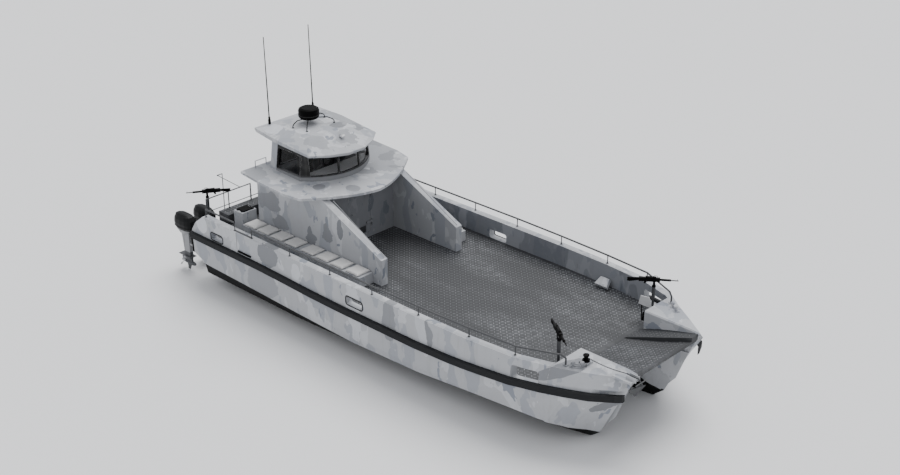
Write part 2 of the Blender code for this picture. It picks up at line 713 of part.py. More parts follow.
def leaning_mesh(name, inset, low, high):
    """A closed shell between the heights low(x) and high(x) whose walls lean in as they rise."""
    base = whole(wheelhouse_outline(inset))
    rings = []
    for height in (low, high):
        ring = []
        for x, y in base:
            z = height(x)
            lean = WHEELHOUSE_LEAN * (z - 3.45) / (HEAD_Z - 3.45)
            ring.append((x - lean * 0.3 * (x > WHEELHOUSE_CORNER_X), y * (1.0 - lean / WHEELHOUSE_HALF_WIDTH), z))
        rings.append(ring)
    return loft_mesh(name, rings)


def build_wheelhouse():
    """The upper cabin: leaning walls with a window band, open at the bottom to the stair and at the top to the roof."""
    wall = 0.07

    def low(x):
        return brow_top_z(x) + GAP

    house = craft_object("wheelhouse", leaning_mesh("wheelhouse", 0.0, low, lambda x: head_z(x) - GAP), CAMOUFLAGE)
    cut(house, [leaning_mesh("cabin", wall, lambda x: 3.2, lambda x: 4.7)])
    band_z = (SIDE_SILL_Z, 4.22)
    openings = [
        slab_mesh("side_window", rounded_rectangle((2.03, 2.97), band_z, 0.04, 2), -2.0, 2.0, "XZ"),
        box_mesh("aft_doorway", (1.5, 1.95), (-0.98, -0.30), (3.61, 4.28)),
        box_mesh("aft_window", (1.5, 1.95), (-0.05, 0.98), (SILL_Z, 4.215)),
    ]
    for y_range in ((-1.08, -0.38), (-0.35, 0.35), (0.38, 1.08)):
        openings.append(box_mesh("front_window", (3.10, 4.2), y_range, (SILL_Z, 4.195)))
    cut(house, openings)
    hinge_x, hinge_y = WHEELHOUSE_AFT_X - 0.033, -0.26
    lugs = []
    for z in (3.78, 4.12):
        lug_z = (z - 0.11, z - 0.05 - GAP)
        lugs.append(rod_mesh("lug", (hinge_x, hinge_y, lug_z[0]), (hinge_x, hinge_y, lug_z[1]), 0.014, 12))
        lugs.append(box_mesh("lug_arm", (hinge_x, WHEELHOUSE_AFT_X + 0.02), (hinge_y - 0.01, hinge_y + 0.01), lug_z))
    unite(house, lugs)
    clear = 0.008
    hinge = pivot("wheelhouse_door_hinge", (hinge_x, hinge_y, 0.0))
    leaf = box_mesh("leaf", (0.040, 0.075), (-0.72 + clear, -0.04 - clear), (3.61 + clear, 4.28 - clear))
    door = craft_object("wheelhouse_door", leaf, CAMOUFLAGE, hinge)
    pieces = []
    for z in (3.78, 4.12):
        pieces.append(rod_mesh("hinge_pin", (0.0, 0.0, z - 0.05), (0.0, 0.0, z + 0.05), 0.014, 12))
        pieces.append(box_mesh("hinge_strap", (-0.008, 0.026), (-0.15, 0.006), (z - 0.025, z + 0.025)))
        pieces.append(box_mesh("hinge_block", (0.02, 0.05), (-0.14, -0.06), (z - 0.02, z + 0.02)))
    pieces.append(rod_mesh("handle", (-0.03, -0.64, 3.94), (0.05, -0.64, 3.94), 0.013, 8))
    unite(door, pieces)


def build_roof():
    """A faceted roof: an underside on the walls, an edge that droops forward and a smaller raised crown."""
    # Columns: x, y, edge z, crown x, crown y
    corners = (
        (1.02, 1.17, 4.49, 1.36, 0.60),
        (1.90, 1.26, 4.44, 1.95, 0.78),
        (3.36, 1.23, 4.31, 2.80, 0.74),
        (3.70, 0.80, 4.30, 3.02, 0.50),
        (3.93, 0.28, 4.30, 3.14, 0.18),
    )
    half_edge = [(x, y, z) for x, y, z, _, _ in corners]
    edge = half_edge + [(x, -y, z) for x, y, z in reversed(half_edge)]
    half_crown = [(x, y, ROOF_Z) for _, _, _, x, y in corners]
    crown = half_crown + [(x, -y, z) for x, y, z in reversed(half_crown)]
    under = [(x * 0.97 + 0.06, y * 0.985, head_z(x * 0.97 + 0.06)) for x, y, _ in edge]
    rim = [(x, y, z + 0.035) for x, y, z in edge]
    roof = craft_object("wheelhouse_roof", loft_mesh("roof", [under, edge, rim, crown]), CAMOUFLAGE)
    lamp_x, lamp_y, lamp_z = 3.35, -0.03, 4.585
    lamp = [
        rod_mesh("lamp_post", (lamp_x, lamp_y, 4.42), (lamp_x, lamp_y, lamp_z), 0.02, 10),
        rod_mesh("lamp_body", (lamp_x - 0.05, lamp_y, lamp_z), (lamp_x + 0.06, lamp_y, lamp_z), 0.055, 16, 0.062),
    ]
    for x, y in WHIP_FEET:
        lamp.append(rod_mesh("whip_pad", (x, y, 4.44), (x, y, WHIP_LOW_Z), 0.06, 16))
    unite(roof, lamp)


def build_glass():
    """One dark pane round the front and sides, just inside the wheelhouse's wall."""
    glass = craft_object("wheelhouse_glass", leaning_mesh("glass", 0.0705, lambda x: 3.2, lambda x: 4.7), TINTED_GLASS)
    cut(
        glass,
        [
            leaning_mesh("glass_inside", 0.082, lambda x: 3.1, lambda x: 4.8),
            box_mesh("glass_aft_end", (1.5, 1.95), (-2.0, 2.0), (3.0, 5.0)),
            box_mesh("glass_foot", (1.4, 4.0), (-2.0, 2.0), (3.0, SIDE_SILL_Z - 0.03)),
            box_mesh("glass_head", (1.4, 4.0), (-2.0, 2.0), (4.228, 5.0)),
        ],
    )


def build_helm():
    """A console under the front windows and two seats on posts, all on one plinth on the cabin floor."""
    floor_z = CABIN_FLOOR_Z + GAP
    helm = craft_object("helm", box_mesh("plinth", (2.16, 3.30), (-0.75, 0.75), (floor_z, floor_z + 0.06)), CONSOLE_GREY)
    pieces = [
        box_mesh("console_leg", (2.98, 3.24), (-0.66, 0.66), (floor_z + 0.02, 3.40)),
        slab_mesh("console_top", ((2.86, 3.38), (3.26, 3.38), (3.26, 3.62), (3.12, 3.66), (2.86, 3.54)), -0.70, 0.70, "XZ"),
        rod_mesh("wheel_hub", (2.80, -0.40, 3.52), (2.95, -0.40, 3.50), 0.03, 12),
        rod_mesh("wheel", (2.79, -0.40, 3.525), (2.815, -0.40, 3.52), 0.15, 20),
    ]
    for y in (-0.40, 0.40):
        pieces.append(rod_mesh("seat_post", (2.40, y, floor_z + 0.03), (2.40, y, 3.16), 0.05, 12))
        pieces.append(box_mesh("seat", (2.20, 2.62), (y - 0.23, y + 0.23), (3.12, 3.24)))
        pieces.append(box_mesh("seat_back", (2.15, 2.25), (y - 0.23, y + 0.23), (3.16, 3.86)))
    unite(helm, pieces)


def build_radome():
    centre = (1.98, 0.0)
    low, high = 4.73, 5.06
    profile = ((0.0, high), (0.22, high), (0.275, high - 0.03), (0.295, high - 0.08), (0.295, low + 0.09))
    profile += ((0.26, low + 0.03), (0.19, low), (0.0, low))
    dome = turned_mesh("radome", profile, 24, Matrix.Translation((*centre, 0.0)))
    radome = craft_object("radome", dome, BLACK_METAL)
    legs = []
    # Columns: x, y of a leg's foot, from the middle of the radome
    for foot_x, foot_y in ((-0.01, -0.58), (0.48, -0.50), (0.48, 0.50), (-0.01, 0.58)):
        path = []
        for share, z in ((0.35, low + 0.03), (0.72, low + 0.04), (0.93, low - 0.02), (1.0, low - 0.07), (1.0, ROOF_Z + GAP)):
            path.append((centre[0] + share * foot_x, centre[1] + share * foot_y, z))
        legs.append(tube_mesh("leg", path, 0.014))
    unite(radome, legs)


def build_antennas():
    low = WHIP_LOW_Z + GAP
    for (side_name, _), (x, y) in zip(SIDES, WHIP_FEET):
        mast = rod_mesh("whip", (x, y, low + 0.08), (x - 0.05, y, WHIP_TOP_Z), 0.019, 10, 0.012)
        antenna = craft_object(f"whip_antenna_{side_name}", mast, BLACK_METAL)
        unite(antenna, [rod_mesh("base", (x, y, low), (x, y, low + 0.13), 0.04, 12)])


def build_side_rails():
    """A hand rail on short stanchions, with an open gate on the starboard side whose posts share a foot strip."""
    for side_name, side in SIDES:
        end_x, end_y = RAIL_END
        rows = [(x, side * y) for x, y in STANCHIONS]
        path = [(x, y, RAIL_Z) for x, y in rows]
        path += [(end_x - 0.10, side * (end_y + 0.055), RAIL_Z - 0.01), (end_x, side * end_y, RAIL_Z - 0.09)]
        path += [(end_x, side * end_y, RAIL_END_Z + GAP)]
        aft_path = path[:2]
        fore_path = path[2:]
        pieces = [rod_mesh("stanchion", (x, y, CAP_Z + GAP), (x, y, RAIL_Z), 0.014, 10) for x, y in rows]
        if side < 0:
            gate_y = rows[1][1]
            pieces.append(tube_mesh("aft_rail", aft_path, RAIL_RADIUS))
            gate = (rows[1][0] - 0.03, rows[2][0] + 0.03)
            pieces.append(box_mesh("gate_sill", gate, (gate_y - 0.03, gate_y + 0.03), (CAP_Z + GAP, CAP_Z + 0.012)))
        else:
            fore_path = path
        base = tube_mesh("rail", fore_path, RAIL_RADIUS)
        unite(craft_object(f"side_rail_{side_name}", base, RAIL_STEEL), pieces)


def build_stern_rails():
    """A low frame across each half of the stern, tied by one bar, and a tall guard aft of it that a brace joins."""
    x = 0.10
    top_z, middle_z, loop_z = 2.44, 2.05, 2.86
    outer_y, post_y, inner_y = 2.34, 1.55, 0.75
    guard_x, guard_y = -0.25, 1.46
    deck_foot = DECK_Z + GAP
    platform_foot = PLATFORM_Z + GAP
    tie = tube_mesh("tie", [(x + 0.0023, 0.004 - inner_y, middle_z), (x + 0.0023, inner_y - 0.004, middle_z)], 0.012)
    rail = craft_object("stern_rail", tie, RAIL_STEEL)
    for _, side in SIDES:
        frame = [(x, side * outer_y, deck_foot), (x, side * outer_y, top_z), (x, side * inner_y, top_z)]
        frame += [(x, side * inner_y, platform_foot)]
        bar = [(x + 0.0023, side * (outer_y - 0.004), middle_z), (x + 0.0023, side * (inner_y + 0.004), middle_z)]
        post = rod_mesh("post", (x - 0.0017, side * post_y, platform_foot), (x - 0.0017, side * post_y, top_z - 0.004), 0.016, 9)
        guard = [(-0.006, side * guard_y, 1.40), (guard_x, side * guard_y, 1.40), (guard_x, side * guard_y, loop_z)]
        guard += [(guard_x, side * (guard_y + 0.18), loop_z)]
        flange = rod_mesh("flange", (-2 * GAP, side * guard_y, 1.40), (-0.012, side * guard_y, 1.40), 0.045, 16)
        brace_ends = [(guard_x + 0.003, side * (guard_y + 0.165), loop_z - 0.003), (x - 0.003, side * 1.12, top_z + 0.003)]
        brace = tube_mesh("brace", brace_ends, 0.010)
        unite(rail, [tube_mesh("frame", frame, 0.022), tube_mesh("bar", bar, 0.012), post])
        unite(rail, [brace, tube_mesh("guard", guard, 0.015), flange])


def build_seats():
    """A bench along each side wall, and one node of pads on a thin carrier per side."""
    low = DECK_Z + GAP
    for side_name, side in SIDES:
        y_range = sorted((side * SEAT_Y[0], side * SEAT_Y[1]))
        craft_object(f"seat_bench_{side_name}", box_mesh("bench", BENCH_X, y_range, (low, BENCH_Z)), CAMOUFLAGE)
        pad_y = sorted((side * (SEAT_Y[0] + 0.01), side * (SEAT_Y[1] - 0.01)))
        carrier = box_mesh("carrier", (1.33, 5.99), pad_y, (BENCH_Z + GAP, BENCH_Z + 0.015))
        pads = craft_object(f"seat_pads_{side_name}", carrier, SEAT_VINYL)
        half = SEAT_PAD_LENGTH / 2
        top = BENCH_Z + PAD_THICKNESS
        unite(pads, [box_mesh("pad", (x - half, x + half), pad_y, (BENCH_Z + 0.005, top)) for x in SEAT_PADS_X])


def build_lockers():
    low = DECK_Z + GAP
    middle_x = (LOCKER_X[0] + LOCKER_X[1]) / 2
    lap = 0.035
    for side_name, side in SIDES:
        y_range = sorted((side * LOCKER_Y[0], side * LOCKER_Y[1]))
        body = box_mesh("locker", LOCKER_X, y_range, (low, LOCKER_Z))
        locker = craft_object(f"locker_{side_name}", body, CAMOUFLAGE)
        inside_x = (middle_x - LID_HALF_LENGTH + lap * 0.7, middle_x + LID_HALF_LENGTH - lap * 0.7)
        inside_y = sorted((side * (LID_Y[0] + lap), side * (LID_Y[1] - lap)))
        cut(locker, [box_mesh("inside", inside_x, inside_y, (low + 0.03, LOCKER_Z + 0.1))])
        hinge = pivot(f"locker_hinge_{side_name}", (middle_x, side * LID_HINGE_Y, LOCKER_Z + 0.02))
        half = LID_HALF_LENGTH
        lid_y = sorted((-side * (LID_HINGE_Y - LID_Y[1]), -side * (LID_HINGE_Y - LID_Y[0])))
        lid_mesh = box_mesh("lid", (-half, half), lid_y, (-0.02 + GAP, 0.015))
        lid = craft_object(f"locker_lid_{side_name}", lid_mesh, BLACK_METAL, hinge)
        pieces = []
        for x in (-0.09, 0.09):
            pieces.append(rod_mesh("knuckle", (x - 0.035, 0.0, 0.0), (x + 0.035, 0.0, 0.0), 0.014, 12))
            pieces.append(box_mesh("strap", (x - 0.025, x + 0.025), sorted((side * 0.005, -side * 0.06)), (-0.006, 0.010)))
        unite(lid, pieces)


def build_stern_platform():
    low = DECK_Z + GAP
    craft_object("stern_platform", box_mesh("platform", PLATFORM_X, (-1.90, 1.90), (low, PLATFORM_Z)), TREAD_PLATE)


def build_engine_mounts():
    """A plate on each transom with a pair of arms for each engine's tilt tube."""
    tilt_x, tilt_z = TILT_AXIS
    for side_name, side in SIDES:
        y_range = sorted((side * 1.52, side * 2.78))
        plate = box_mesh("transom_plate", (-0.12, -GAP), y_range, (0.90, 1.50))
        mount = craft_object(f"engine_mount_{side_name}", plate, BLACK_METAL)
        arms = []
        for _, y in OUTBOARDS:
            if y * side < 0:
                continue
            outline = ((-0.10, 0.94), (-0.10, tilt_z + 0.06), (tilt_x + 0.02, tilt_z + 0.05), (tilt_x - 0.045, tilt_z + 0.03))
            outline += ((tilt_x - 0.045, tilt_z - 0.045), (tilt_x + 0.03, tilt_z - 0.07))
            for offset in (-0.16, 0.16):
                arms.append(slab_mesh("arm", outline, y + offset - 0.018, y + offset + 0.018, "XZ"))
        unite(mount, arms)


def blade_mesh(angle):
    """One propeller blade: a twisted rounded plate that grows out of the hub."""
    # Columns: radius, half chord, half thickness, pitch in degrees
    stations = ((0.030, 0.035, 0.010, 60.0), (0.08, 0.062, 0.008, 44.0), (0.13, 0.075, 0.006, 32.0))
    stations += ((0.165, 0.060, 0.004, 27.0), (PROPELLER_RADIUS, 0.022, 0.003, 24.0))
    rings = []
    for radius, chord, thick, pitch in stations:
        c, s = math.cos(math.radians(pitch)), math.sin(math.radians(pitch))
        ring = []
        for u, v in ((-chord, 0.0), (0.0, -thick), (chord, 0.0), (0.0, thick)):
            ring.append((u * s + v * c, u * c - v * s, radius))
        rings.append(ring)
    mesh = loft_mesh("blade", rings)
    mesh.transform(Matrix.Rotation(angle, 4, "X"))
    return mesh


def build_outboards():
    tilt_x, tilt_z = TILT_AXIS
    for name, y in OUTBOARDS:
        tilt = pivot(f"outboard_tilt_{name}", (tilt_x, y, tilt_z))
        steer_x = STEER_AXIS_X - tilt_x
        swivel_mesh = rod_mesh("tilt_tube", (0.0, -0.1416, 0.0), (0.0, 0.1416, 0.0), 0.035, 16)
        swivel = craft_object(f"outboard_swivel_{name}", swivel_mesh, BLACK_METAL, tilt)
        unite(
            swivel,
            [
                box_mesh("swivel_arm", (steer_x, 0.0), (-0.07, 0.07), (-0.03, 0.03)),
                rod_mesh("kingpin_tube", (steer_x, 0.0, -0.34), (steer_x, 0.0, 0.04), 0.055, 16),
            ],
        )
        steer = pivot(f"outboard_steer_{name}", (steer_x, 0.0, 0.0), tilt)
        engine_top = COWL_TOP_Z - tilt_z
        cowl_low = COWL_LOW_Z - tilt_z
        # Columns: z, middle x, half length, half width
        cowl_rows = (
            (cowl_low - 0.16, -0.36, 0.18, 0.11),
            (cowl_low - 0.04, -0.34, 0.30, 0.165),
            (cowl_low + 0.05, -0.31, 0.375, 0.205),
            (cowl_low + 0.18, -0.30, 0.410, 0.222),
            (cowl_low + 0.30, -0.31, 0.390, 0.208),
            (engine_top - 0.06, -0.33, 0.32, 0.165),
            (engine_top - 0.015, -0.34, 0.22, 0.11),
            (engine_top, -0.345, 0.13, 0.06),
        )
        rings = []
        for z, middle, half_length, half_width in cowl_rows:
            ring = []
            for i in range(16):
                angle = 2.0 * math.pi * i / 16
                c, s = math.cos(angle), math.sin(angle)
                u = math.copysign(abs(c) ** 0.75, c)
                v = math.copysign(abs(s) ** 0.75, s)
                ring.append((middle + half_length * u, half_width * v, z))
            rings.append(ring)
        engine = craft_object(f"outboard_engine_{name}", loft_mesh("cowl", rings), ENGINE_PAINT, steer)
        ground_z = -tilt_z
        leg_outline = (
            (-0.13, cowl_low + 0.03),
            (-0.13, -0.46),
            (-0.15, 0.38 + ground_z),
            (-0.36, 0.38 + ground_z),
            (-0.42, -0.40),
            (-0.50, cowl_low + 0.03),
        )
        torpedo_z = PROPELLER_Z + ground_z
        skeg = ((-0.14, torpedo_z), (-0.26, 0.02 + ground_z), (-0.34, 0.02 + ground_z), (-0.37, torpedo_z))
        fin = ((-0.13, 0.42 + ground_z), (-0.10, torpedo_z), (-0.36, torpedo_z), (-0.36, 0.42 + ground_z))
        # Columns: radius, distance from the aft end
        torpedo = ((0.0, 0.46), (0.035, 0.43), (0.058, 0.36), (0.062, 0.20), (0.055, 0.02), (0.045, 0.0), (0.0, 0.0))
        along_x = Matrix.Translation((-0.42, 0.0, torpedo_z)) @ Matrix.Rotation(math.radians(90.0), 4, "Y")
        unite(
            engine,
            [
                slab_mesh("leg", leg_outline, -0.06, 0.06, "XZ"),
                slab_mesh("lower_leg", fin, -0.026, 0.026, "XZ"),
                slab_mesh("skeg", skeg, -0.010, 0.010, "XZ"),
                box_mesh("vent_plate", (-0.62, -0.06), (-0.11, 0.11), (0.46 + ground_z, 0.475 + ground_z)),
                turned_mesh("torpedo", torpedo, 20, along_x),
            ],
        )
        cut(engine, [rod_mesh("king_clearance", (0.0, 0.0, -0.36), (0.0, 0.0, 0.062), 0.064, 20)])
        unite(
            engine,
            [
                rod_mesh("kingpin_top", (0.0, 0.0, 0.0404), (0.0, 0.0, cowl_low + 0.09), 0.05, 16),
                box_mesh("top_yoke", (-0.20, 0.007), (-0.043, 0.043), (0.048, cowl_low + 0.06)),
                rod_mesh("kingpin_low", (0.0, 0.0, -0.41), (0.0, 0.0, -0.3404), 0.05, 16),
                box_mesh("low_yoke", (-0.20, 0.007), (-0.043, 0.043), (-0.402, -0.349)),
            ],
        )
        propeller_x = PROPELLER_X - STEER_AXIS_X
        spin = pivot(f"propeller_axis_{name}", (propeller_x, 0.0, torpedo_z), steer)
        hub_low = -0.09
        hub_high = -0.42 - propeller_x - 0.006
        hub = rod_mesh("hub", (hub_low, 0.0, 0.0), (hub_high, 0.0, 0.0), 0.05, 20)
        propeller = craft_object(f"propeller_{name}", hub, RAIL_STEEL, spin)
        unite(propeller, [blade_mesh(2.0 * math.pi * i / PROPELLER_BLADES) for i in range(PROPELLER_BLADES)])


def build_guns():
    """Four pedestals, each with a plain gun shape that turns on it with its yoke."""
    for name, x, y, foot_z, turn in GUN_MOUNTS:
        axis_z = GUN_AXIS_Z[name.split("_")[0]]
        column_top = axis_z - 0.20
        foot = rod_mesh("column", (x, y, foot_z + GAP), (x, y, column_top), 0.033, 16)
        pedestal = craft_object(f"gun_pedestal_{name}", foot, RAIL_STEEL)
        base = 0.055 if foot_z < DECK_Z else 0.13
        unite(
            pedestal,
            [
                rod_mesh("foot", (x, y, foot_z + GAP), (x, y, foot_z + 0.02), base, 20),
                rod_mesh("sleeve", (x, y, column_top - 0.34), (x, y, column_top), 0.046, 16),
            ],
        )
        yaw = pivot(f"gun_yaw_{name}", (x, y, axis_z))
        yaw.rotation_euler = (0.0, 0.0, math.radians(turn))
        body = box_mesh("receiver", (-0.38, 0.14), (-0.042, 0.042), (-0.05, 0.045))
        gun = craft_object(f"deck_gun_{name}", body, BLACK_METAL, yaw)
        stock = ((-0.36, 0.03), (-0.36, -0.03), (-0.60, -0.08), (-0.66, -0.07), (-0.66, 0.02))
        grip = ((-0.24, -0.03), (-0.17, -0.03), (-0.21, -0.12), (-0.255, -0.115))
        cheeks = []
        for side in (-1, 1):
            y_range = sorted((side * 0.038, side * 0.056))
            cheeks.append(box_mesh("cheek", (-0.03, 0.03), y_range, (-0.16, 0.03)))
        unite(
            gun,
            [
                rod_mesh("turn_disc", (0.0, 0.0, -0.1995), (0.0, 0.0, -0.165), 0.05, 16),
                box_mesh("yoke_floor", (-0.03, 0.03), (-0.056, 0.056), (-0.175, -0.135)),
                *cheeks,
                slab_mesh("stock", stock, -0.018, 0.018, "XZ"),
                slab_mesh("grip", grip, -0.015, 0.015, "XZ"),
                box_mesh("feed_cover", (-0.22, 0.04), (-0.030, 0.030), (0.04, 0.07)),
                rod_mesh("jacket", (0.12, 0.0, 0.0), (0.40, 0.0, 0.0), 0.030, 12),
                rod_mesh("barrel", (0.38, 0.0, 0.0), (0.585, 0.0, 0.0), 0.013, 10),
            ],
        )


def build_ground_tackle():
    """Windlass on the starboard foredeck, and the anchor in its roller."""
    x, y = WINDLASS_XY
    foot = rod_mesh("windlass_base", (x, y, WINDLASS_Z + GAP), (x, y, 2.25), 0.09, 20)
    windlass = craft_object("windlass", foot, BLACK_METAL)
    unite(
        windlass,
        [
            rod_mesh("gypsy", (x, y, 2.24), (x, y, 2.35), 0.05, 16),
            rod_mesh("drum_cap", (x, y, 2.34), (x, y, 2.37), 0.075, 16),
        ],
    )
    y = ANCHOR_Y
    shank = tube_mesh("shank", [(14.26, y, 2.2492), (14.58, y, 2.2492), (14.71, y, 2.10)], 0.016)
    anchor = craft_object("anchor", shank, RAIL_STEEL)
    wings = []
    for _, side in SIDES:
        corners = ((14.50, y - side * 0.012, 1.76), (14.76, y - side * 0.012, 2.16), (14.44, y + side * 0.18, 1.97))
        wings.append(plate_mesh("wing", corners, 0.022))
    unite(anchor, wings + [rod_mesh("stock", (14.65, y - 0.20, 2.17), (14.65, y + 0.20, 2.17), 0.014, 10)])


build_hulls()
build_bridge_deck()
build_cargo_deck()
build_bow_apron()
build_bulwarks()
build_foredecks()
build_strakes()
build_deckhouse()
build_brow()
build_wheelhouse()
build_roof()
build_glass()
build_helm()
build_radome()
build_antennas()
build_side_rails()
build_stern_rails()
build_seats()
build_lockers()
build_stern_platform()
build_engine_mounts()
build_outboards()
build_guns()
build_ground_tackle()
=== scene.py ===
"""Looks of a catamaran landing craft: paint, deck bars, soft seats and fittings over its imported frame."""

import logging
import math
from dataclasses import dataclass
from enum import Enum, IntEnum
from typing import Optional, Sequence

import bmesh
import bpy
import numpy as np
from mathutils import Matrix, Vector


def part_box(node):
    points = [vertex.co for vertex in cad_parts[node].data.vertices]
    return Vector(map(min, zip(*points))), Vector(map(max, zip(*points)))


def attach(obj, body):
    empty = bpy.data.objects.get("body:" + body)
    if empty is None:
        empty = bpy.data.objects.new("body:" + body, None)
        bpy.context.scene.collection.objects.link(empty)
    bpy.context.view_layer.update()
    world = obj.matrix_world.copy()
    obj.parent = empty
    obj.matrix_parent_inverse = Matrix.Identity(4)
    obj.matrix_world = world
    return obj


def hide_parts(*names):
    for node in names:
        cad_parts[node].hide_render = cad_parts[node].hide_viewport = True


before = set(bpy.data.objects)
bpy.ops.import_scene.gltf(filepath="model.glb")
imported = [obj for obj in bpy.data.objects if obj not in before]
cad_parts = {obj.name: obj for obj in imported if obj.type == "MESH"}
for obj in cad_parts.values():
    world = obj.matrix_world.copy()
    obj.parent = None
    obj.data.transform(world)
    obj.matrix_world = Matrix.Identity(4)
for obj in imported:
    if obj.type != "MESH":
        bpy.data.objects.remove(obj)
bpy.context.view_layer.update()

LOG = logging.getLogger("landing_craft")
Array = np.ndarray
Colour = tuple[float, float, float]
Socket = bpy.types.NodeSocket

# The drawings measure x from the transom; the frame measures it from the middle of the craft
FRAME_SHIFT_X = 6.7985
DECK_Z = 1.62
CAP_Z = 2.20
SIDES = (("starboard", -1.0), ("port", 1.0))


def aft(x: float) -> float:
    """The frame's x of a place given from the transom."""
    return x - FRAME_SHIFT_X


def shade(red: float, green: float, blue: float) -> Colour:
    """Linear colour of a display colour from 0 to 255: the usual power curve with its short straight foot."""
    values = np.array([red, green, blue]) / 255.0
    linear = np.where(values <= 0.04045, values / 12.92, ((values + 0.055) / 1.055) ** 2.4)
    return tuple(float(value) for value in linear)


def grey(value: float, blue_cast: float = 0.0) -> Colour:
    """Linear grey of a display value, with some more blue than red."""
    return shade(value - blue_cast / 2, value, value + blue_cast)


# ---------------------------------------------------------------- surfaces


@dataclass(frozen=True)
class Surface:
    """Points and faces worked out as whole arrays; each face is a row of point numbers.

    Attributes:
        points: One row of x, y, z per point.
        faces: One row of four point numbers per face.
    """

    points: Array
    faces: Array

    def turned(self, matrix: Array, offset: Sequence[float] = (0.0, 0.0, 0.0)) -> "Surface":
        """The surface with its points turned by a 3x3 matrix and then moved."""
        return Surface(self.points @ np.asarray(matrix, float).T + np.asarray(offset, float), self.faces)

    def moved(self, x: float = 0.0, y: float = 0.0, z: float = 0.0) -> "Surface":
        """The surface moved."""
        return Surface(self.points + np.array([x, y, z]), self.faces)


def joined(surfaces: Sequence[Surface]) -> Surface:
    """Several surfaces as one, with the point numbers of each moved past those before it."""
    starts = np.cumsum([0] + [len(surface.points) for surface in surfaces[:-1]])
    faces = [surface.faces + start for surface, start in zip(surfaces, starts)]
    return Surface(np.concatenate([surface.points for surface in surfaces]), np.concatenate(faces))


def grid_faces(rows: int, columns: int, close_rows: bool = False, close_columns: bool = True) -> Array:
    """Faces of a grid of points: each point with its next row and column, round the seam where it closes.

    Args:
        rows: How many rows of points there are.
        columns: How many points a row has.
        close_rows: Whether the last row joins the first.
        close_columns: Whether a row's last point joins its first.

    Returns:
        One row of four point numbers per face.
    """
    row = np.arange(rows if close_rows else rows - 1)
    column = np.arange(columns if close_columns else columns - 1)
    row, column = np.meshgrid(row, column, indexing="ij")
    next_row, next_column = (row + 1) % rows, (column + 1) % columns
    corners = (row * columns + column, row * columns + next_column)
    corners += (next_row * columns + next_column, next_row * columns + column)
    return np.stack(corners, axis=-1).reshape(-1, 4)


def swept_tube(
    path: Sequence[Sequence[float]],
    radius: float | Sequence[float],
    sides: int = 12,
    reference: Sequence[float] = (0.0, 0.0, 1.0),
    flatten: float = 1.0,
) -> Surface:
    """A closed tube along a path.

    Each point is the path's point plus the radius times (cosine of the angle along the side direction, and
    sine of the angle along the up direction, times flatten). The side is square to the path and to the
    reference, and up is square to both. Each end closes on its middle.

    Args:
        path: Points that the tube follows.
        radius: One radius, or one per point.
        sides: How many points go round.
        reference: A direction that the path never runs along.
        flatten: Height of the section over its width.

    Returns:
        The tube.
    """
    path = np.asarray(path, float)
    count = len(path)
    along = np.gradient(path, axis=0)
    along /= np.linalg.norm(along, axis=1, keepdims=True)
    side = np.cross(along, np.asarray(reference, float))
    side /= np.linalg.norm(side, axis=1, keepdims=True)
    up = np.cross(side, along)
    radii = np.broadcast_to(np.asarray(radius, float), (count,))[:, None, None]
    angle = (2.0 * np.pi * np.arange(sides) / sides)[None, :, None]
    rings = path[:, None] + radii * (np.cos(angle) * side[:, None] + flatten * np.sin(angle) * up[:, None])
    first = np.repeat(path[:1, None], sides, axis=1)
    last = np.repeat(path[-1:, None], sides, axis=1)
    rings = np.concatenate([first, rings, last])
    return Surface(rings.reshape(-1, 3), grid_faces(count + 2, sides))


def bar(start: Sequence[float], end: Sequence[float], radius: float, sides: int = 12) -> Surface:
    """A straight round bar with a slightly eased end, as a tube through four points of one line."""
    start, end = np.asarray(start, float), np.asarray(end, float)
    length = float(np.linalg.norm(end - start))
    ease = min(0.2 * radius, 0.2 * length) / length
    path = start + (end - start) * np.array([0.0, ease, 1.0 - ease, 1.0])[:, None]
    reference = (1.0, 0.0, 0.0) if abs(end[2] - start[2]) > 0.8 * length else (0.0, 0.0, 1.0)
    return swept_tube(path, [0.82 * radius, radius, radius, 0.82 * radius], sides, reference)


def lathe(profile: Sequence[tuple[float, float]], sides: int = 24, closed: bool = False) -> Surface:
    """A profile turned about the z axis.

    Args:
        profile: Radius and height of each ring.
        sides: How many points go round.
        closed: Whether the last ring joins the first.

    Returns:
        The turned shape: each ring is the radius times the angle's cosine and sine, at its height.
    """
    rows = np.asarray(profile, float)
    angle = 2.0 * np.pi * np.arange(sides) / sides
    height = np.broadcast_to(rows[:, 1:], (len(rows), sides))
    points = np.stack([rows[:, :1] * np.cos(angle), rows[:, :1] * np.sin(angle), height], axis=-1)
    return Surface(points.reshape(-1, 3), grid_faces(len(rows), sides, closed))


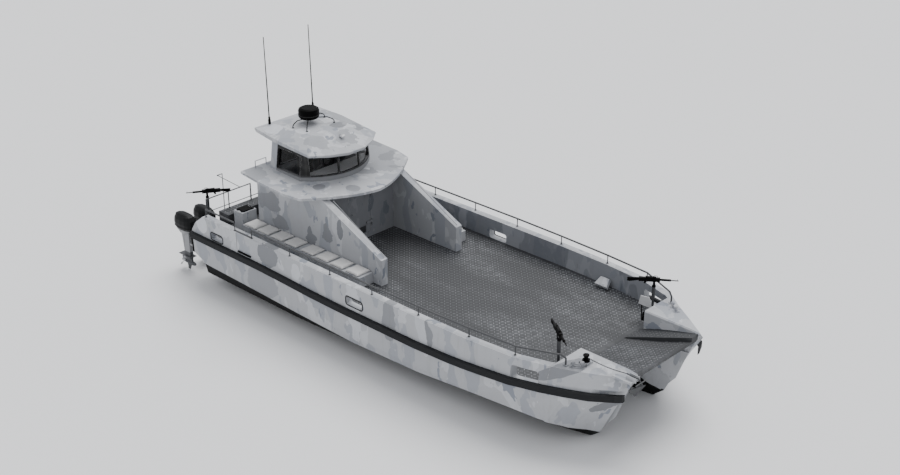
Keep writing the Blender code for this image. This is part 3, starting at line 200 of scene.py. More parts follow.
def round_box(half: Sequence[float], radius: float, steps: int = 3) -> Surface:
    """A box with round edges.

    Each point is a point of a ball of the edge radius, moved towards its own octant by the half size less
    the radius. The two flat ends close on their middles.

    Args:
        half: Half the length, width and height.
        radius: The edge radius.
        steps: Faces round a quarter of an edge.

    Returns:
        The box, about the origin.
    """
    half = np.asarray(half, float)
    quarter = np.linspace(0.0, np.pi / 2.0, steps + 1)
    around = np.concatenate([quarter + turn * np.pi / 2.0 for turn in range(4)])
    x_sign = np.repeat([1.0, -1.0, -1.0, 1.0], steps + 1)
    y_sign = np.repeat([1.0, 1.0, -1.0, -1.0], steps + 1)
    rise = np.concatenate([quarter - np.pi / 2.0, quarter])
    z_sign = np.repeat([-1.0, 1.0], steps + 1)
    rise, around = rise[:, None], around[None]
    core = half - radius
    points = np.stack(
        [
            radius * np.cos(rise) * np.cos(around) + core[0] * x_sign[None],
            radius * np.cos(rise) * np.sin(around) + core[1] * y_sign[None],
            np.broadcast_to(radius * np.sin(rise) + core[2] * z_sign[:, None], (len(rise), around.shape[1])),
        ],
        axis=-1,
    )
    low = np.zeros((1, points.shape[1], 3)) + np.array([0.0, 0.0, -half[2]])
    high = -low
    points = np.concatenate([low, points, high])
    return Surface(points.reshape(-1, 3), grid_faces(points.shape[0], points.shape[1]))


def box_between(low: Sequence[float], high: Sequence[float], radius: float) -> Surface:
    """A round-edged box between two corners given from the transom."""
    low, high = np.asarray(low, float), np.asarray(high, float)
    middle = (low + high) / 2.0
    return round_box((high - low) / 2.0, radius, 2).moved(aft(middle[0]), middle[1], middle[2])


def oval_link(length: float, width: float, wire: float) -> Surface:
    """A chain link: a circle of the wire's radius carried round an oval."""
    turns, sides = 14, 6
    along = 2.0 * np.pi * np.arange(turns) / turns
    round_wire = 2.0 * np.pi * np.arange(sides) / sides
    reach = np.stack([np.cos(along), np.sin(along), np.zeros(turns)], axis=-1)
    centre = reach * np.array([length / 2.0 - wire, width / 2.0 - wire, 0.0])
    points = centre[:, None] + wire * np.cos(round_wire)[None, :, None] * reach[:, None]
    points[..., 2] += wire * np.sin(round_wire)[None]
    return Surface(points.reshape(-1, 3), grid_faces(turns, sides, close_rows=True))


def repeated(shape: Surface, places: Array, angles: Array) -> Surface:
    """One shape put at many places: each copy is turned about z by its angle, and moved.

    Args:
        shape: The shape, about the origin.
        places: One row of x, y, z per copy.
        angles: One angle in radians per copy.

    Returns:
        All the copies as one surface.
    """
    x, y, z = shape.points.T
    cosine, sine = np.cos(angles)[:, None], np.sin(angles)[:, None]
    height = np.broadcast_to(z, (len(places), len(z)))
    turned = np.stack([x * cosine - y * sine, x * sine + y * cosine, height], axis=-1)
    steps = (np.arange(len(places)) * len(shape.points))[:, None, None]
    faces = (shape.faces[None] + steps).reshape(-1, shape.faces.shape[1])
    return Surface((turned + places[:, None]).reshape(-1, 3), faces)


def rounded_loop(half_length: float, half_height: float, corner: float) -> Array:
    """A rounded rectangle: a circle with each quarter moved to its corner, run on past its start to close."""
    quarter = np.linspace(0.0, np.pi / 2.0, 5)
    angle = np.concatenate([quarter + turn * np.pi / 2.0 for turn in range(4)])
    across = np.repeat([1.0, -1.0, -1.0, 1.0], 5) * (half_length - corner) + corner * np.cos(angle)
    up = np.repeat([1.0, 1.0, -1.0, -1.0], 5) * (half_height - corner) + corner * np.sin(angle)
    loop = np.stack([across, up], axis=-1)
    return np.concatenate([loop, loop[:2]])


def arch(middle: float, foot: float, half_length: float, rise: float, count: int) -> Array:
    """Half an ellipse that stands along x: the cosine times its half length, and the sine times its rise."""
    angle = np.linspace(0.0, np.pi, count)
    x, z = middle + half_length * np.cos(angle), foot + rise * np.sin(angle)
    return np.stack([x, np.zeros(count), z], axis=-1)


def at_height(plan: Array, z: float) -> Array:
    """The points of a plan at one height."""
    return np.column_stack([plan, np.full(len(plan), z)])


def plate(outline: Sequence[Sequence[float]], normal: Sequence[float], thickness: float) -> Surface:
    """A flat plate of a four-sided outline in space, thickened by half each way along its normal."""
    corners = np.asarray(outline, float)
    normal = np.asarray(normal, float)
    normal = normal / np.linalg.norm(normal) * thickness / 2.0
    points = np.concatenate([corners - normal, corners + normal])
    faces = [[0, 1, 2, 3], [4, 5, 6, 7], [0, 1, 5, 4], [1, 2, 6, 5], [2, 3, 7, 6], [3, 0, 4, 7]]
    return Surface(points, np.array(faces))


class Axis(IntEnum):
    """The axes that a shape can be turned about."""

    X = 0
    Y = 1
    Z = 2


def rotation(axis: Axis, degrees: float) -> Array:
    """The matrix that turns about an axis."""
    angle = math.radians(degrees)
    first, second = (axis + 1) % 3, (axis + 2) % 3
    matrix = np.eye(3)
    matrix[first, first] = matrix[second, second] = math.cos(angle)
    matrix[second, first] = math.sin(angle)
    matrix[first, second] = -math.sin(angle)
    return matrix


# ---------------------------------------------------------------- pieces


def mesh_of(name: str, surface: Surface, sharp_degrees: float) -> bpy.types.Mesh:
    """A mesh of the surface, with doubled points merged and its faces turned outwards."""
    mesh = bpy.data.meshes.new(name)
    mesh.from_pydata(surface.points.tolist(), [], surface.faces.tolist())
    shape = bmesh.new()
    shape.from_mesh(mesh)
    bmesh.ops.remove_doubles(shape, verts=shape.verts, dist=1e-5)
    bmesh.ops.dissolve_degenerate(shape, edges=shape.edges, dist=1e-6)
    bmesh.ops.recalc_face_normals(shape, faces=shape.faces)
    shape.to_mesh(mesh)
    shape.free()
    mesh.shade_smooth()
    mesh.set_sharp_from_angle(angle=math.radians(sharp_degrees))
    return mesh


def add_piece(
    name: str,
    surface: Surface,
    material: bpy.types.Material,
    slot: str,
    body: str = "craft",
    sharp_degrees: float = 38.0,
    bevel: float = 0.0,
) -> bpy.types.Object:
    """Puts a surface in the scene as a piece that rides on its body, and logs it.

    Args:
        name: The piece's name.
        surface: Its shape.
        material: The material it shows.
        slot: A material slot's name; not used.
        body: The CAD body that it rides on.
        sharp_degrees: Edges that turn more than this stay crisp.
        bevel: Width of a rounded edge, or 0.

    Returns:
        The piece.
    """
    mesh = mesh_of(name, surface, sharp_degrees)
    mesh.materials.append(material)
    piece = bpy.data.objects.new(name, mesh)
    bpy.context.scene.collection.objects.link(piece)
    if bevel:
        rounding = piece.modifiers.new("rounded_edges", "BEVEL")
        rounding.width, rounding.segments, rounding.limit_method = bevel, 2, "ANGLE"
    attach(piece, body)
    LOG.info("%s rides on %s, %d faces", name, body, len(mesh.polygons))
    return piece


def dress_node(name: str, material: bpy.types.Material) -> None:
    """Gives a CAD node its material."""
    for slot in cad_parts[name].material_slots:
        slot.link = "DATA"
        slot.material = material
    LOG.info("%s wears %s", name, material.name)


# ---------------------------------------------------------------- node trees


class Draft:
    """Short calls for building one node tree."""

    def __init__(self, tree: bpy.types.NodeTree) -> None:
        """Keeps the tree."""
        self.tree = tree

    def add(self, kind: str, inputs: Optional[dict] = None, **settings: object) -> bpy.types.Node:
        """Adds a node.

        Args:
            kind: The node's type, without its ShaderNode prefix.
            inputs: Values or sockets for its inputs, by name or number.
            **settings: The node's own settings.

        Returns:
            The node.
        """
        node = self.tree.nodes.new("ShaderNode" + kind)
        for key, value in settings.items():
            setattr(node, key, value)
        for key, value in (inputs or {}).items():
            if isinstance(value, Socket):
                self.tree.links.new(value, node.inputs[key])
            else:
                node.inputs[key].default_value = value
        return node

    def sum(self, operation: str, first: object, second: object = 0.0) -> Socket:
        """A sum of one or two values."""
        return self.add("Math", {0: first, 1: second}, operation=operation).outputs[0]

    def times(self, first: object, second: object) -> Socket:
        """The product of two values."""
        return self.sum("MULTIPLY", first, second)

    def plus(self, first: object, second: object) -> Socket:
        """Two values added."""
        return self.sum("ADD", first, second)

    def less(self, first: object, second: object) -> Socket:
        """The first value less the second."""
        return self.sum("SUBTRACT", first, second)

    def vector(self, operation: str, first: object, second: object = (0.0, 0.0, 0.0)) -> bpy.types.Node:
        """A sum of two vectors."""
        return self.add("VectorMath", {0: first, 1: second}, operation=operation)

    def parts(self, vector: Socket) -> tuple[Socket, ...]:
        """The x, y and z of a vector."""
        split = self.add("SeparateXYZ", {0: vector})
        return split.outputs[0], split.outputs[1], split.outputs[2]

    def step(self, value: object, start: float, end: float) -> Socket:
        """A smooth rise from 0 at start to 1 at end."""
        inputs = {"Value": value, "From Min": start, "From Max": end}
        return self.add("MapRange", inputs, interpolation_type="SMOOTHSTEP").outputs["Result"]

    def mix(self, share: object, first: object, second: object) -> Socket:
        """Two colours mixed by a share from 0 to 1."""
        made = self.add("Mix", data_type="RGBA", blend_type="MIX")
        for socket, value in ((made.inputs[0], share), (made.inputs[6], first), (made.inputs[7], second)):
            if isinstance(value, Socket):
                self.tree.links.new(value, socket)
            elif isinstance(value, tuple):
                socket.default_value = (*value, 1.0)
            else:
                socket.default_value = value
        return made.outputs[2]

    def lay(self, under: object, mask: object, strength: float, over: object) -> Socket:
        """One colour laid over another where the mask is, at a strength."""
        return self.mix(self.times(mask, strength), under, over)

    def noise(self, position: object, scale: float, detail: float = 2.0, distortion: float = 0.0) -> Socket:
        """Soft noise in space."""
        settings = {"Vector": position, "Scale": scale, "Detail": detail, "Distortion": distortion}
        return self.add("TexNoise", settings).outputs["Fac"]

    def placed(self, position: object, offset: Sequence[float], scale: Sequence[float]) -> Socket:
        """A position moved and scaled by a Mapping node."""
        inputs = {"Vector": position, "Location": tuple(offset), "Scale": tuple(scale)}
        return self.add("Mapping", inputs).outputs[0]

    def use(self, group: bpy.types.NodeTree, inputs: dict) -> bpy.types.Node:
        """Places a node group."""
        node = self.add("Group", node_tree=group)
        for key, value in inputs.items():
            if isinstance(value, Socket):
                self.tree.links.new(value, node.inputs[key])
            elif isinstance(value, tuple) and len(value) == 3 and node.inputs[key].type == "RGBA":
                node.inputs[key].default_value = (*value, 1.0)
            else:
                node.inputs[key].default_value = value
        return node


def new_group(
    name: str, inputs: dict[str, str], outputs: dict[str, str]
) -> tuple[bpy.types.NodeTree, Draft, dict, bpy.types.Node]:
    """An empty node group.

    Args:
        name: The group's name.
        inputs: The type of each input, by name.
        outputs: The type of each output, by name.

    Returns:
        The group, a draft of it, its input sockets by name, and its output node.
    """
    tree = bpy.data.node_groups.new(name, "ShaderNodeTree")
    for direction, sockets in (("INPUT", inputs), ("OUTPUT", outputs)):
        for socket, kind in sockets.items():
            tree.interface.new_socket(socket, in_out=direction, socket_type="NodeSocket" + kind)
    source = tree.nodes.new("NodeGroupInput")
    sink = tree.nodes.new("NodeGroupOutput")
    return tree, Draft(tree), {socket: source.outputs[socket] for socket in inputs}, sink


class SharedEffects:
    """The node groups that several finishes use."""

    def __init__(self) -> None:
        """Builds each group once."""
        self.wear = self._wear()
        self.grain = self._grain()
        self.dust = self._dust()
        self.blotches = self._blotches()
        self.patch = self._patch()

    @staticmethod
    def _wear() -> bpy.types.NodeTree:
        """Edge wear: where the rounded normal departs from the flat one, broken up by noise."""
        tree, draft, given, sink = new_group(
            "edge_wear", {"Position": "Vector", "Radius": "Float", "Breakup": "Float"}, {"Mask": "Float"}
        )
        rounded = draft.add("Bevel", {"Radius": given["Radius"]}, samples=4).outputs[0]
        flat = draft.add("NewGeometry").outputs["True Normal"]
        turn = draft.vector("DOT_PRODUCT", rounded, flat).outputs["Value"]
        edge = draft.step(draft.less(1.0, turn), 0.015, 0.16)
        rough = draft.noise(given["Position"], 17.0, 4.0)
        kept = draft.step(draft.times(rough, given["Breakup"]), 0.42, 0.58)
        draft.tree.links.new(draft.times(edge, kept), sink.inputs["Mask"])
        return tree

    @staticmethod
    def _grain() -> bpy.types.NodeTree:
        """Fine grain: a height and a variation from two sizes of noise."""
        tree, draft, given, sink = new_group(
            "fine_grain", {"Position": "Vector", "Size": "Float"}, {"Height": "Float", "Variation": "Float"}
        )
        inputs = {0: given["Position"], "Scale": given["Size"]}
        scaled = draft.add("VectorMath", inputs, operation="SCALE").outputs[0]
        fine = draft.noise(scaled, 1.0, 4.0)
        broad = draft.noise(scaled, 0.11, 3.0)
        draft.tree.links.new(draft.plus(fine, draft.times(broad, 0.6)), sink.inputs["Height"])
        varied = draft.plus(draft.times(fine, 0.35), draft.times(broad, 0.65))
        draft.tree.links.new(varied, sink.inputs["Variation"])
        return tree

    @staticmethod
    def _dust() -> bpy.types.NodeTree:
        """Dirt: streaks that run down walls, and a film on faces that look up."""
        outputs = {"Streaks": "Float", "Film": "Float"}
        tree, draft, given, sink = new_group("salt_and_dust", {"Position": "Vector"}, outputs)
        stretched = draft.placed(given["Position"], (0.0, 0.0, 0.0), (7.0, 7.0, 0.9))
        streaks = draft.step(draft.noise(stretched, 1.0, 3.0, 0.3), 0.53, 0.78)
        up = draft.parts(draft.add("NewGeometry").outputs["Normal"])[2]
        settled = draft.step(draft.noise(given["Position"], 1.7, 5.0), 0.42, 0.75)
        film = draft.times(draft.step(up, 0.3, 0.95), settled)
        draft.tree.links.new(streaks, sink.inputs["Streaks"])
        draft.tree.links.new(film, sink.inputs["Film"])
        return tree

    @staticmethod
    def _blotches() -> bpy.types.NodeTree:
        """Paint blotches with crisp edges: stretched noise cut off at a level, with a wavy outline."""
        tree, draft, given, sink = new_group(
            "paint_blotches",
            {
                **dict.fromkeys(("Position", "Offset", "Stretch"), "Vector"),
                **dict.fromkeys(("Size", "Level"), "Float"),
            },
            {"Mask": "Float"},
        )
        moved = draft.vector("ADD", given["Position"], given["Offset"]).outputs[0]
        stretched = draft.vector("MULTIPLY", moved, given["Stretch"]).outputs[0]
        scaled = draft.add("VectorMath", {0: stretched, "Scale": given["Size"]}, operation="SCALE").outputs[0]
        form = draft.noise(scaled, 1.0, 3.0, 0.25)
        over = draft.less(form, given["Level"])
        draft.tree.links.new(draft.step(over, 0.0, 0.006), sink.inputs["Mask"])
        return tree

    @staticmethod
    def _patch() -> bpy.types.NodeTree:
        """One painted patch: an ellipse across a plane, with a wavy outline."""
        tree, draft, given, sink = new_group(
            "painted_patch",
            {"Position": "Vector", "Middle": "Vector", "Reach": "Vector", "Turn": "Vector", "Waves": "Float"},
            {"Mask": "Float"},
        )
        moved = draft.vector("SUBTRACT", given["Position"], given["Middle"]).outputs[0]
        inputs = {"Vector": moved, "Rotation": given["Turn"]}
        turned = draft.add("VectorRotate", inputs, rotation_type="EULER_XYZ").outputs[0]
        shrunk = draft.vector("DIVIDE", turned, given["Reach"]).outputs[0]
        distance = draft.vector("LENGTH", shrunk).outputs["Value"]
        rough = draft.less(draft.noise(given["Position"], 3.6, 3.0), 0.5)
        waves = draft.times(rough, draft.times(given["Waves"], 3.0))
        edge = draft.plus(distance, waves)
        draft.tree.links.new(draft.less(1.0, draft.step(edge, 0.985, 1.0)), sink.inputs["Mask"])
        return tree


@dataclass(frozen=True)
class Shell:
    """Numbers that stay on the shader's own sockets.

    Attributes:
        roughness: How matt the surface is.
        metallic: 1 for bare metal.
        coat: Weight of a clear coat.
        specular: Strength of the mirror-like part.
        transmission: 1 for glass.
        alpha: How solid it is.
    """

    roughness: float = 0.5
    metallic: float = 0.0
    coat: float = 0.0
    specular: float = 0.5
    transmission: float = 0.0
    alpha: float = 1.0


class Material:
    """A material in the making: a Principled shader and a draft of what feeds it."""

    def __init__(self, name: str, shell: Shell) -> None:
        """Makes the material and sets the shader's own numbers."""
        self.made = bpy.data.materials.new(name)
        self.made.use_nodes = True
        self.tree = self.made.node_tree
        self.tree.nodes.clear()
        self.draft = Draft(self.tree)
        self.shader = self.draft.add(
            "BsdfPrincipled",
            {
                "Roughness": shell.roughness,
                "Metallic": shell.metallic,
                "Coat Weight": shell.coat,
                "Specular IOR Level": shell.specular,
                "Transmission Weight": shell.transmission,
                "Alpha": shell.alpha,
            },
        )
        sink = self.draft.add("OutputMaterial")
        self.tree.links.new(self.shader.outputs[0], sink.inputs["Surface"])
        self.position = self.draft.add("TexCoord").outputs["Object"]

    def effect(self, group: bpy.types.NodeTree, **inputs: object) -> bpy.types.NodeOutputs:
        """Places a shared effect at this material's position."""
        return self.draft.use(group, {"Position": self.position, **inputs}).outputs

    def worn(
        self,
        effects: "SharedEffects",
        colour: Socket,
        radius: float,
        breakup: float,
        strength: float,
        tone: float,
    ) -> Socket:
        """A colour with worn edges laid over it.

        Args:
            effects: The shared node groups.
            colour: The colour under the wear.
            radius: How far the wear reaches from an edge.
            breakup: How much of the edge is kept.
            strength: How much of the wear shows.
            tone: Display grey of the worn edge.

        Returns:
            The colour.
        """
        wear = self.effect(effects.wear, Radius=radius, Breakup=breakup)[0]
        return self.draft.lay(colour, wear, strength, grey(tone))

    def finished(
        self,
        colour: Socket,
        roughness: Optional[Socket] = None,
        height: Optional[Socket] = None,
        strength: float = 0.0,
        distance: float = 0.0,
    ) -> bpy.types.Material:
        """Links what feeds the shader.

        Args:
            colour: The base colour.
            roughness: The roughness, or None.
            height: The height that bends the normal, or None.
            strength: How much the normal bends.
            distance: How high the height's 1 is, in metres.

        Returns:
            The material.
        """
        self.tree.links.new(colour, self.shader.inputs["Base Color"])
        if roughness is not None:
            self.tree.links.new(roughness, self.shader.inputs["Roughness"])
        if height is not None:
            bump = self.draft.add("Bump", {"Height": height, "Strength": strength, "Distance": distance})
            self.tree.links.new(bump.outputs[0], self.shader.inputs["Normal"])
        return self.made


# ---------------------------------------------------------------- finishes


class Area(Enum):
    """The parts of the craft that the pattern is laid on in their own way."""

    HULL = "hull"
    BULWARK = "bulwark"
    FOREDECK = "foredeck"
    HOUSE = "deckhouse"
    PLATE = "brow_and_roof"
    CABIN = "wheelhouse"
    FITTING = "bench_and_locker"


@dataclass(frozen=True)
class Patch:
    """One painted patch in a known place.

    Attributes:
        middle: Its middle, from the transom.
        reach: Half its size along x, y and z before it is turned.
        tone: Display grey.
        turn: Degrees that it is turned about y, as seen from starboard, or about z on a flat top.
        waves: How wavy its outline is.
    """

    middle: tuple[float, float, float]
    reach: tuple[float, float, float]
    tone: float
    turn: float = 0.0
    waves: float = 0.25


SIDE_PATCHES = (
    Patch((3.37, -2.9, 1.96), (0.42, 0.6, 0.34), 130.0, 8.0),
    Patch((3.02, -2.9, 1.00), (0.66, 0.6, 0.50), 154.0, 12.0),
    Patch((4.48, -2.9, 1.86), (0.17, 0.6, 0.25), 198.0, -12.0),
    Patch((6.70, -2.9, 1.50), (0.24, 0.6, 0.90), 196.0, 4.0, 0.5),
    Patch((7.98, -2.9, 1.72), (0.23, 0.6, 0.62), 140.0, 3.0, 0.4),
    Patch((9.24, -2.9, 1.80), (0.24, 0.6, 0.38), 136.0, 0.0, 0.3),
    Patch((9.05, -2.9, 2.10), (0.16, 0.5, 0.85), 190.0, 14.0, 0.5),
    Patch((13.22, -2.45, 2.22), (0.98, 0.9, 0.17), 132.0, 24.0, 0.12),
    Patch((13.98, -2.10, 1.27), (0.62, 0.9, 0.20), 126.0, 28.0, 0.12),
    Patch((0.46, -2.9, 1.98), (0.26, 0.4, 0.30), 205.0, 20.0, 0.1),
)
HOUSE_PATCHES = (
    Patch((1.88, -1.45, 2.68), (0.50, 0.4, 0.27), 142.0, 6.0, 0.45),
    Patch((2.36, -1.45, 2.16), (0.32, 0.4, 0.20), 140.0, 10.0, 0.5),
    Patch((3.62, -1.45, 2.06), (0.22, 0.4, 0.18), 134.0, 0.0, 0.7),
    Patch((3.58, -1.45, 2.28), (0.10, 0.4, 0.16), 134.0, 0.0, 0.5),
    Patch((4.28, -1.45, 2.40), (0.24, 0.4, 0.17), 136.0, 12.0, 0.7),
    Patch((4.24, -1.45, 2.60), (0.09, 0.4, 0.14), 136.0, 0.0, 0.5),
    Patch((4.81, -1.45, 2.70), (0.12, 0.4, 0.32), 132.0, 8.0, 0.6),
    Patch((3.10, -1.45, 2.95), (0.30, 0.4, 0.40), 176.0, 0.0, 0.5),
)
BROW_PATCHES = (
    Patch((3.60, -1.15, 3.54), (0.18, 0.20, 0.3), 128.0, 0.0),
    Patch((4.30, -0.52, 3.50), (0.24, 0.20, 0.3), 138.0, 0.0),
    Patch((3.62, 0.36, 3.51), (0.50, 0.17, 0.3), 140.0, -38.0, 0.35),
    Patch((1.72, -1.80, 3.58), (0.55, 0.30, 0.3), 150.0, 20.0, 0.4),
    Patch((2.95, 1.50, 3.54), (0.95, 0.62, 0.3), 154.0, 30.0, 0.5),
    Patch((3.42, 1.62, 3.50), (0.36, 0.20, 0.3), 136.0, 55.0, 0.8),
    Patch((3.72, 0.86, 3.50), (0.30, 0.12, 0.3), 138.0, 70.0, 0.9),
    Patch((2.35, 2.05, 3.54), (0.34, 0.16, 0.3), 140.0, 10.0, 0.9),
    Patch((3.85, 1.18, 3.48), (0.42, 0.34, 0.3), 152.0, -30.0, 0.6),
    Patch((4.05, 1.30, 3.48), (0.20, 0.09, 0.3), 136.0, -40.0, 0.8),
)
ROOF_PATCHES = (
    Patch((2.68, 0.45, 4.55), (0.22, 0.22, 0.4), 128.0, 0.0),
    Patch((1.50, -0.92, 4.55), (0.32, 0.24, 0.4), 200.0, 0.0),
    Patch((2.35, -0.55, 4.55), (0.22, 0.20, 0.4), 196.0, 0.0),
    Patch((2.25, 1.00, 4.55), (0.85, 0.36, 0.3), 152.0, 8.0, 0.6),
    Patch((2.95, 0.95, 4.52), (0.30, 0.16, 0.3), 136.0, 25.0, 0.9),
    Patch((3.40, 0.10, 4.50), (0.36, 0.26, 0.3), 152.0, 40.0, 0.7),
    Patch((3.05, -0.72, 4.52), (0.40, 0.26, 0.3), 158.0, -25.0, 0.6),
    Patch((1.55, 0.70, 4.55), (0.30, 0.14, 0.3), 138.0, -20.0, 0.9),
)

BASE_TONE = 176.0
LIGHT_TONE = 192.0
MIDDLE_TONE = 161.0
DARK_TONE = 140.0
# Columns: share of the craft's length from the transom to the stem, height where the black bottom paint ends
BOTTOM_PAINT = (
    (0.0, 0.72),
    (0.14, 0.66),
    (0.31, 0.57),
    (0.45, 0.51),
    (0.58, 0.50),
    (0.70, 0.56),
    (0.80, 0.66),
    (0.87, 0.66),
    (0.893, 0.50),
    (0.909, 0.34),
    (0.93, 0.22),
    (1.0, 0.20),
)
CRAFT_LENGTH = 14.45


FLAT_AREAS = (Area.PLATE, Area.FOREDECK, Area.FITTING)
TALL_AREAS = (Area.HULL, Area.BULWARK, Area.HOUSE)
FLAT_BLOTCH_SIZE = 2.3
WALL_BLOTCH_SIZE = 1.7
# Columns: display tone, offset of the noise, factor on its size, level that it is cut off at, blue cast
BLOTCH_LAYERS = (
    (LIGHT_TONE, (3.1, 7.7, 1.3), 1.0, 0.575, 3.0),
    (MIDDLE_TONE, (11.3, 2.9, 5.1), 0.8, 0.555, 6.0),
    (DARK_TONE, (5.7, 13.1, 9.9), 1.2, 0.645, 9.0),
)


@dataclass(frozen=True)
class Finish:
    """The base of the finishes.

    Attributes:
        name: The material's name.
    """

    name: str

    def build(self, effects: SharedEffects) -> bpy.types.Material:
        """The finished material."""
        raise NotImplementedError


@dataclass(frozen=True)
class CamouflagePaint(Finish):
    """Matt paint in pale grey blotches over welded plate.

    Attributes:
        area: Where on the craft it is.
        patches: Patches in known places.
    """

    area: Area
    patches: tuple[Patch, ...] = ()

    def _pattern(self, material: Material, effects: SharedEffects) -> Socket:
        """The blotches and patches as one colour."""
        draft = material.draft
        size = FLAT_BLOTCH_SIZE if self.area in FLAT_AREAS else WALL_BLOTCH_SIZE
        stretch = (1.25, 1.25, 0.62) if self.area in TALL_AREAS else (1.0, 1.0, 1.0)
        colour: object = grey(BASE_TONE, 3.0)
        for tone, offset, factor, level, cast in BLOTCH_LAYERS:
            inputs = {"Offset": offset, "Stretch": stretch, "Size": size * factor, "Level": level}
            colour = draft.mix(material.effect(effects.blotches, **inputs)[0], colour, grey(tone, cast))
        for patch in self.patches:
            x, y, z = patch.middle
            turn = math.radians(patch.turn)
            angles = (0.0, 0.0, turn) if self.area is Area.PLATE else (0.0, turn, 0.0)
            inputs = {"Middle": (aft(x), y, z), "Reach": patch.reach, "Turn": angles, "Waves": patch.waves}
            colour = draft.mix(material.effect(effects.patch, **inputs)[0], colour, grey(patch.tone, 4.0))
        return colour

    def _bottom(self, material: Material, colour: Socket) -> Socket:
        """Black bottom paint under a line that falls towards the stem, taken down to near black so that it
        also stands for the shade under the hull.
        """
        draft = material.draft
        x, _, z = draft.parts(material.position)
        share = draft.sum("DIVIDE", draft.plus(x, FRAME_SHIFT_X), CRAFT_LENGTH)
        line = draft.add("FloatCurve", {"Value": share})
        points = line.mapping.curves[0].points
        for index, place in enumerate(BOTTOM_PAINT):
            if index < 2:
                points[index].location = place
            else:
                points.new(*place)
        for point in points:
            point.handle_type = "VECTOR"
        line.mapping.update()
        under = draft.less(line.outputs[0], z)
        # Near-black bottom paint, which is painted shade of the hull's underside as well.
        return draft.mix(draft.step(under, -0.002, 0.004), colour, grey(4.0))

    def _inboard(self, material: Material, colour: Socket) -> Socket:
        """Bulwark walls that face inboard get painted shade: a darker grey, with darker blotches in it, mixed
        over the pattern.
        """
        draft = material.draft
        _, side, _ = draft.parts(material.position)
        _, facing, _ = draft.parts(draft.add("TexCoord").outputs["Normal"])
        # Painted shade: the share of a face that looks inboard, where the darker grey goes.
        inboard_shade_share = draft.step(draft.times(draft.times(side, facing), -1.0), 0.8, 1.6)
        tall = draft.placed(material.position, (4.0, 0.0, 2.0), (0.9, 0.9, 0.35))
        patches = draft.step(draft.noise(tall, 1.0, 3.0), 0.52, 0.535)
        dark = draft.mix(patches, grey(116.0, 6.0), grey(84.0, 8.0))
        return draft.mix(inboard_shade_share, colour, draft.mix(0.74, colour, dark))

    def _recess(self, material: Material, colour: Socket) -> Socket:
        """Painted shade on the deckhouse's front between the wings, under the brow: a darker grey laid over
        the pattern.
        """
        draft = material.draft
        x, y, _ = draft.parts(material.position)
        between = draft.less(1.0, draft.step(draft.sum("ABSOLUTE", y), 1.295, 1.305))
        # Painted shade where the brow's shade falls on the front wall between the wings.
        painted_shade_share = draft.times(between, draft.step(x, aft(3.90), aft(3.92)))
        return draft.lay(colour, painted_shade_share, 0.62, grey(84.0, 5.0))

    def _cabin(self, material: Material, colour: Socket) -> Socket:
        """Wheelhouse walls: painted aft pillars, dark window frames and sill wall, and painted shade on the
        faces that look into the cabin, which go near black.
        """
        draft = material.draft
        x, y, z = draft.parts(material.position)
        forward = draft.step(x, aft(2.005), aft(2.015))
        dark = draft.mix(draft.step(z, 3.60, 3.70), grey(122.0, 2.0), grey(32.0))
        colour = draft.mix(forward, colour, dark)
        normal = draft.parts(draft.add("TexCoord").outputs["Normal"])
        from_middle = draft.times(draft.less(x, aft(2.45)), normal[0])
        outward = draft.plus(from_middle, draft.times(y, normal[1]))
        # Painted shade: faces that look into the cabin go near black.
        painted_inside_shade = draft.less(1.0, draft.step(outward, -0.3, -0.1))
        return draft.mix(painted_inside_shade, colour, grey(24.0))

    def build(self, effects: SharedEffects) -> bpy.types.Material:
        """The finished material: pattern, the area's own changes (painted shade on inboard bulwark walls, the
        deckhouse front and the cabin's inside), dirt, worn edges, and a soft ripple.
        """
        material = Material(self.name, Shell(roughness=0.62, specular=0.16))
        draft = material.draft
        colour = self._pattern(material, effects)
        # The area's own changes: painted shade on inboard bulwark walls, on the deckhouse front and inside
        # the wheelhouse, with the wheelhouse's dark frames.
        changes = {Area.BULWARK: self._inboard, Area.HOUSE: self._recess, Area.CABIN: self._cabin}
        if self.area in changes:
            colour = changes[self.area](material, colour)
        grain = material.effect(effects.grain, Size=60.0)
        dirt = material.effect(effects.dust)
        colour = draft.lay(colour, dirt["Streaks"], 0.16, grey(118.0, -4.0))
        colour = draft.lay(colour, dirt["Film"], 0.10, grey(205.0, -3.0))
        colour = draft.lay(colour, draft.step(grain["Variation"], 0.35, 0.75), 0.12, grey(150.0))
        colour = material.worn(effects, colour, 0.012, 1.05, 0.55, 204.0)
        if self.area is Area.HULL:
            colour = self._bottom(material, colour)
        height = draft.plus(draft.times(grain["Height"], 0.02), draft.noise(material.position, 1.1, 1.0))
        roughness = draft.plus(draft.times(grain["Variation"], 0.22), 0.46)
        return material.finished(colour, roughness, height, 0.5, 0.012)


@dataclass(frozen=True)
class PlainFinish(Finish):
    """A finish of one colour with its own grain, dirt and worn edges.

    Attributes:
        tone: Display grey of the surface.
        edge: Display grey of its worn edges.
        shell: The shader's own numbers.
        grain_size: How fine the grain is.
        grain_depth: How deep it is, in metres.
        cast: How much more blue than red it is.
        wear_radius: How far the wear reaches from an edge.
        wear_share: How much of it shows.
        spread: How much the tone varies.
        dust: How much pale dust lies on faces that look up.
    """

    tone: float
    edge: float
    shell: Shell
    grain_size: float
    grain_depth: float
    cast: float
    wear_radius: float
    wear_share: float
    spread: float = 0.2
    dust: float = 0.12

    def build(self, effects: SharedEffects) -> bpy.types.Material:
        """The finished material."""
        material = Material(self.name, self.shell)
        draft = material.draft
        grain = material.effect(effects.grain, Size=self.grain_size)
        varied = draft.step(grain["Variation"], 0.3, 0.8)
        colour = draft.lay(grey(self.tone, self.cast), varied, self.spread, grey(self.tone * 0.72))
        colour = draft.lay(colour, material.effect(effects.dust)["Film"], self.dust, grey(150.0, -4.0))
        if self.wear_share:
            colour = material.worn(effects, colour, self.wear_radius, 1.1, self.wear_share, self.edge)
        roughness = draft.plus(draft.times(grain["Variation"], 0.24), self.shell.roughness - 0.12)
        return material.finished(colour, roughness, grain["Height"], 0.6, self.grain_depth)


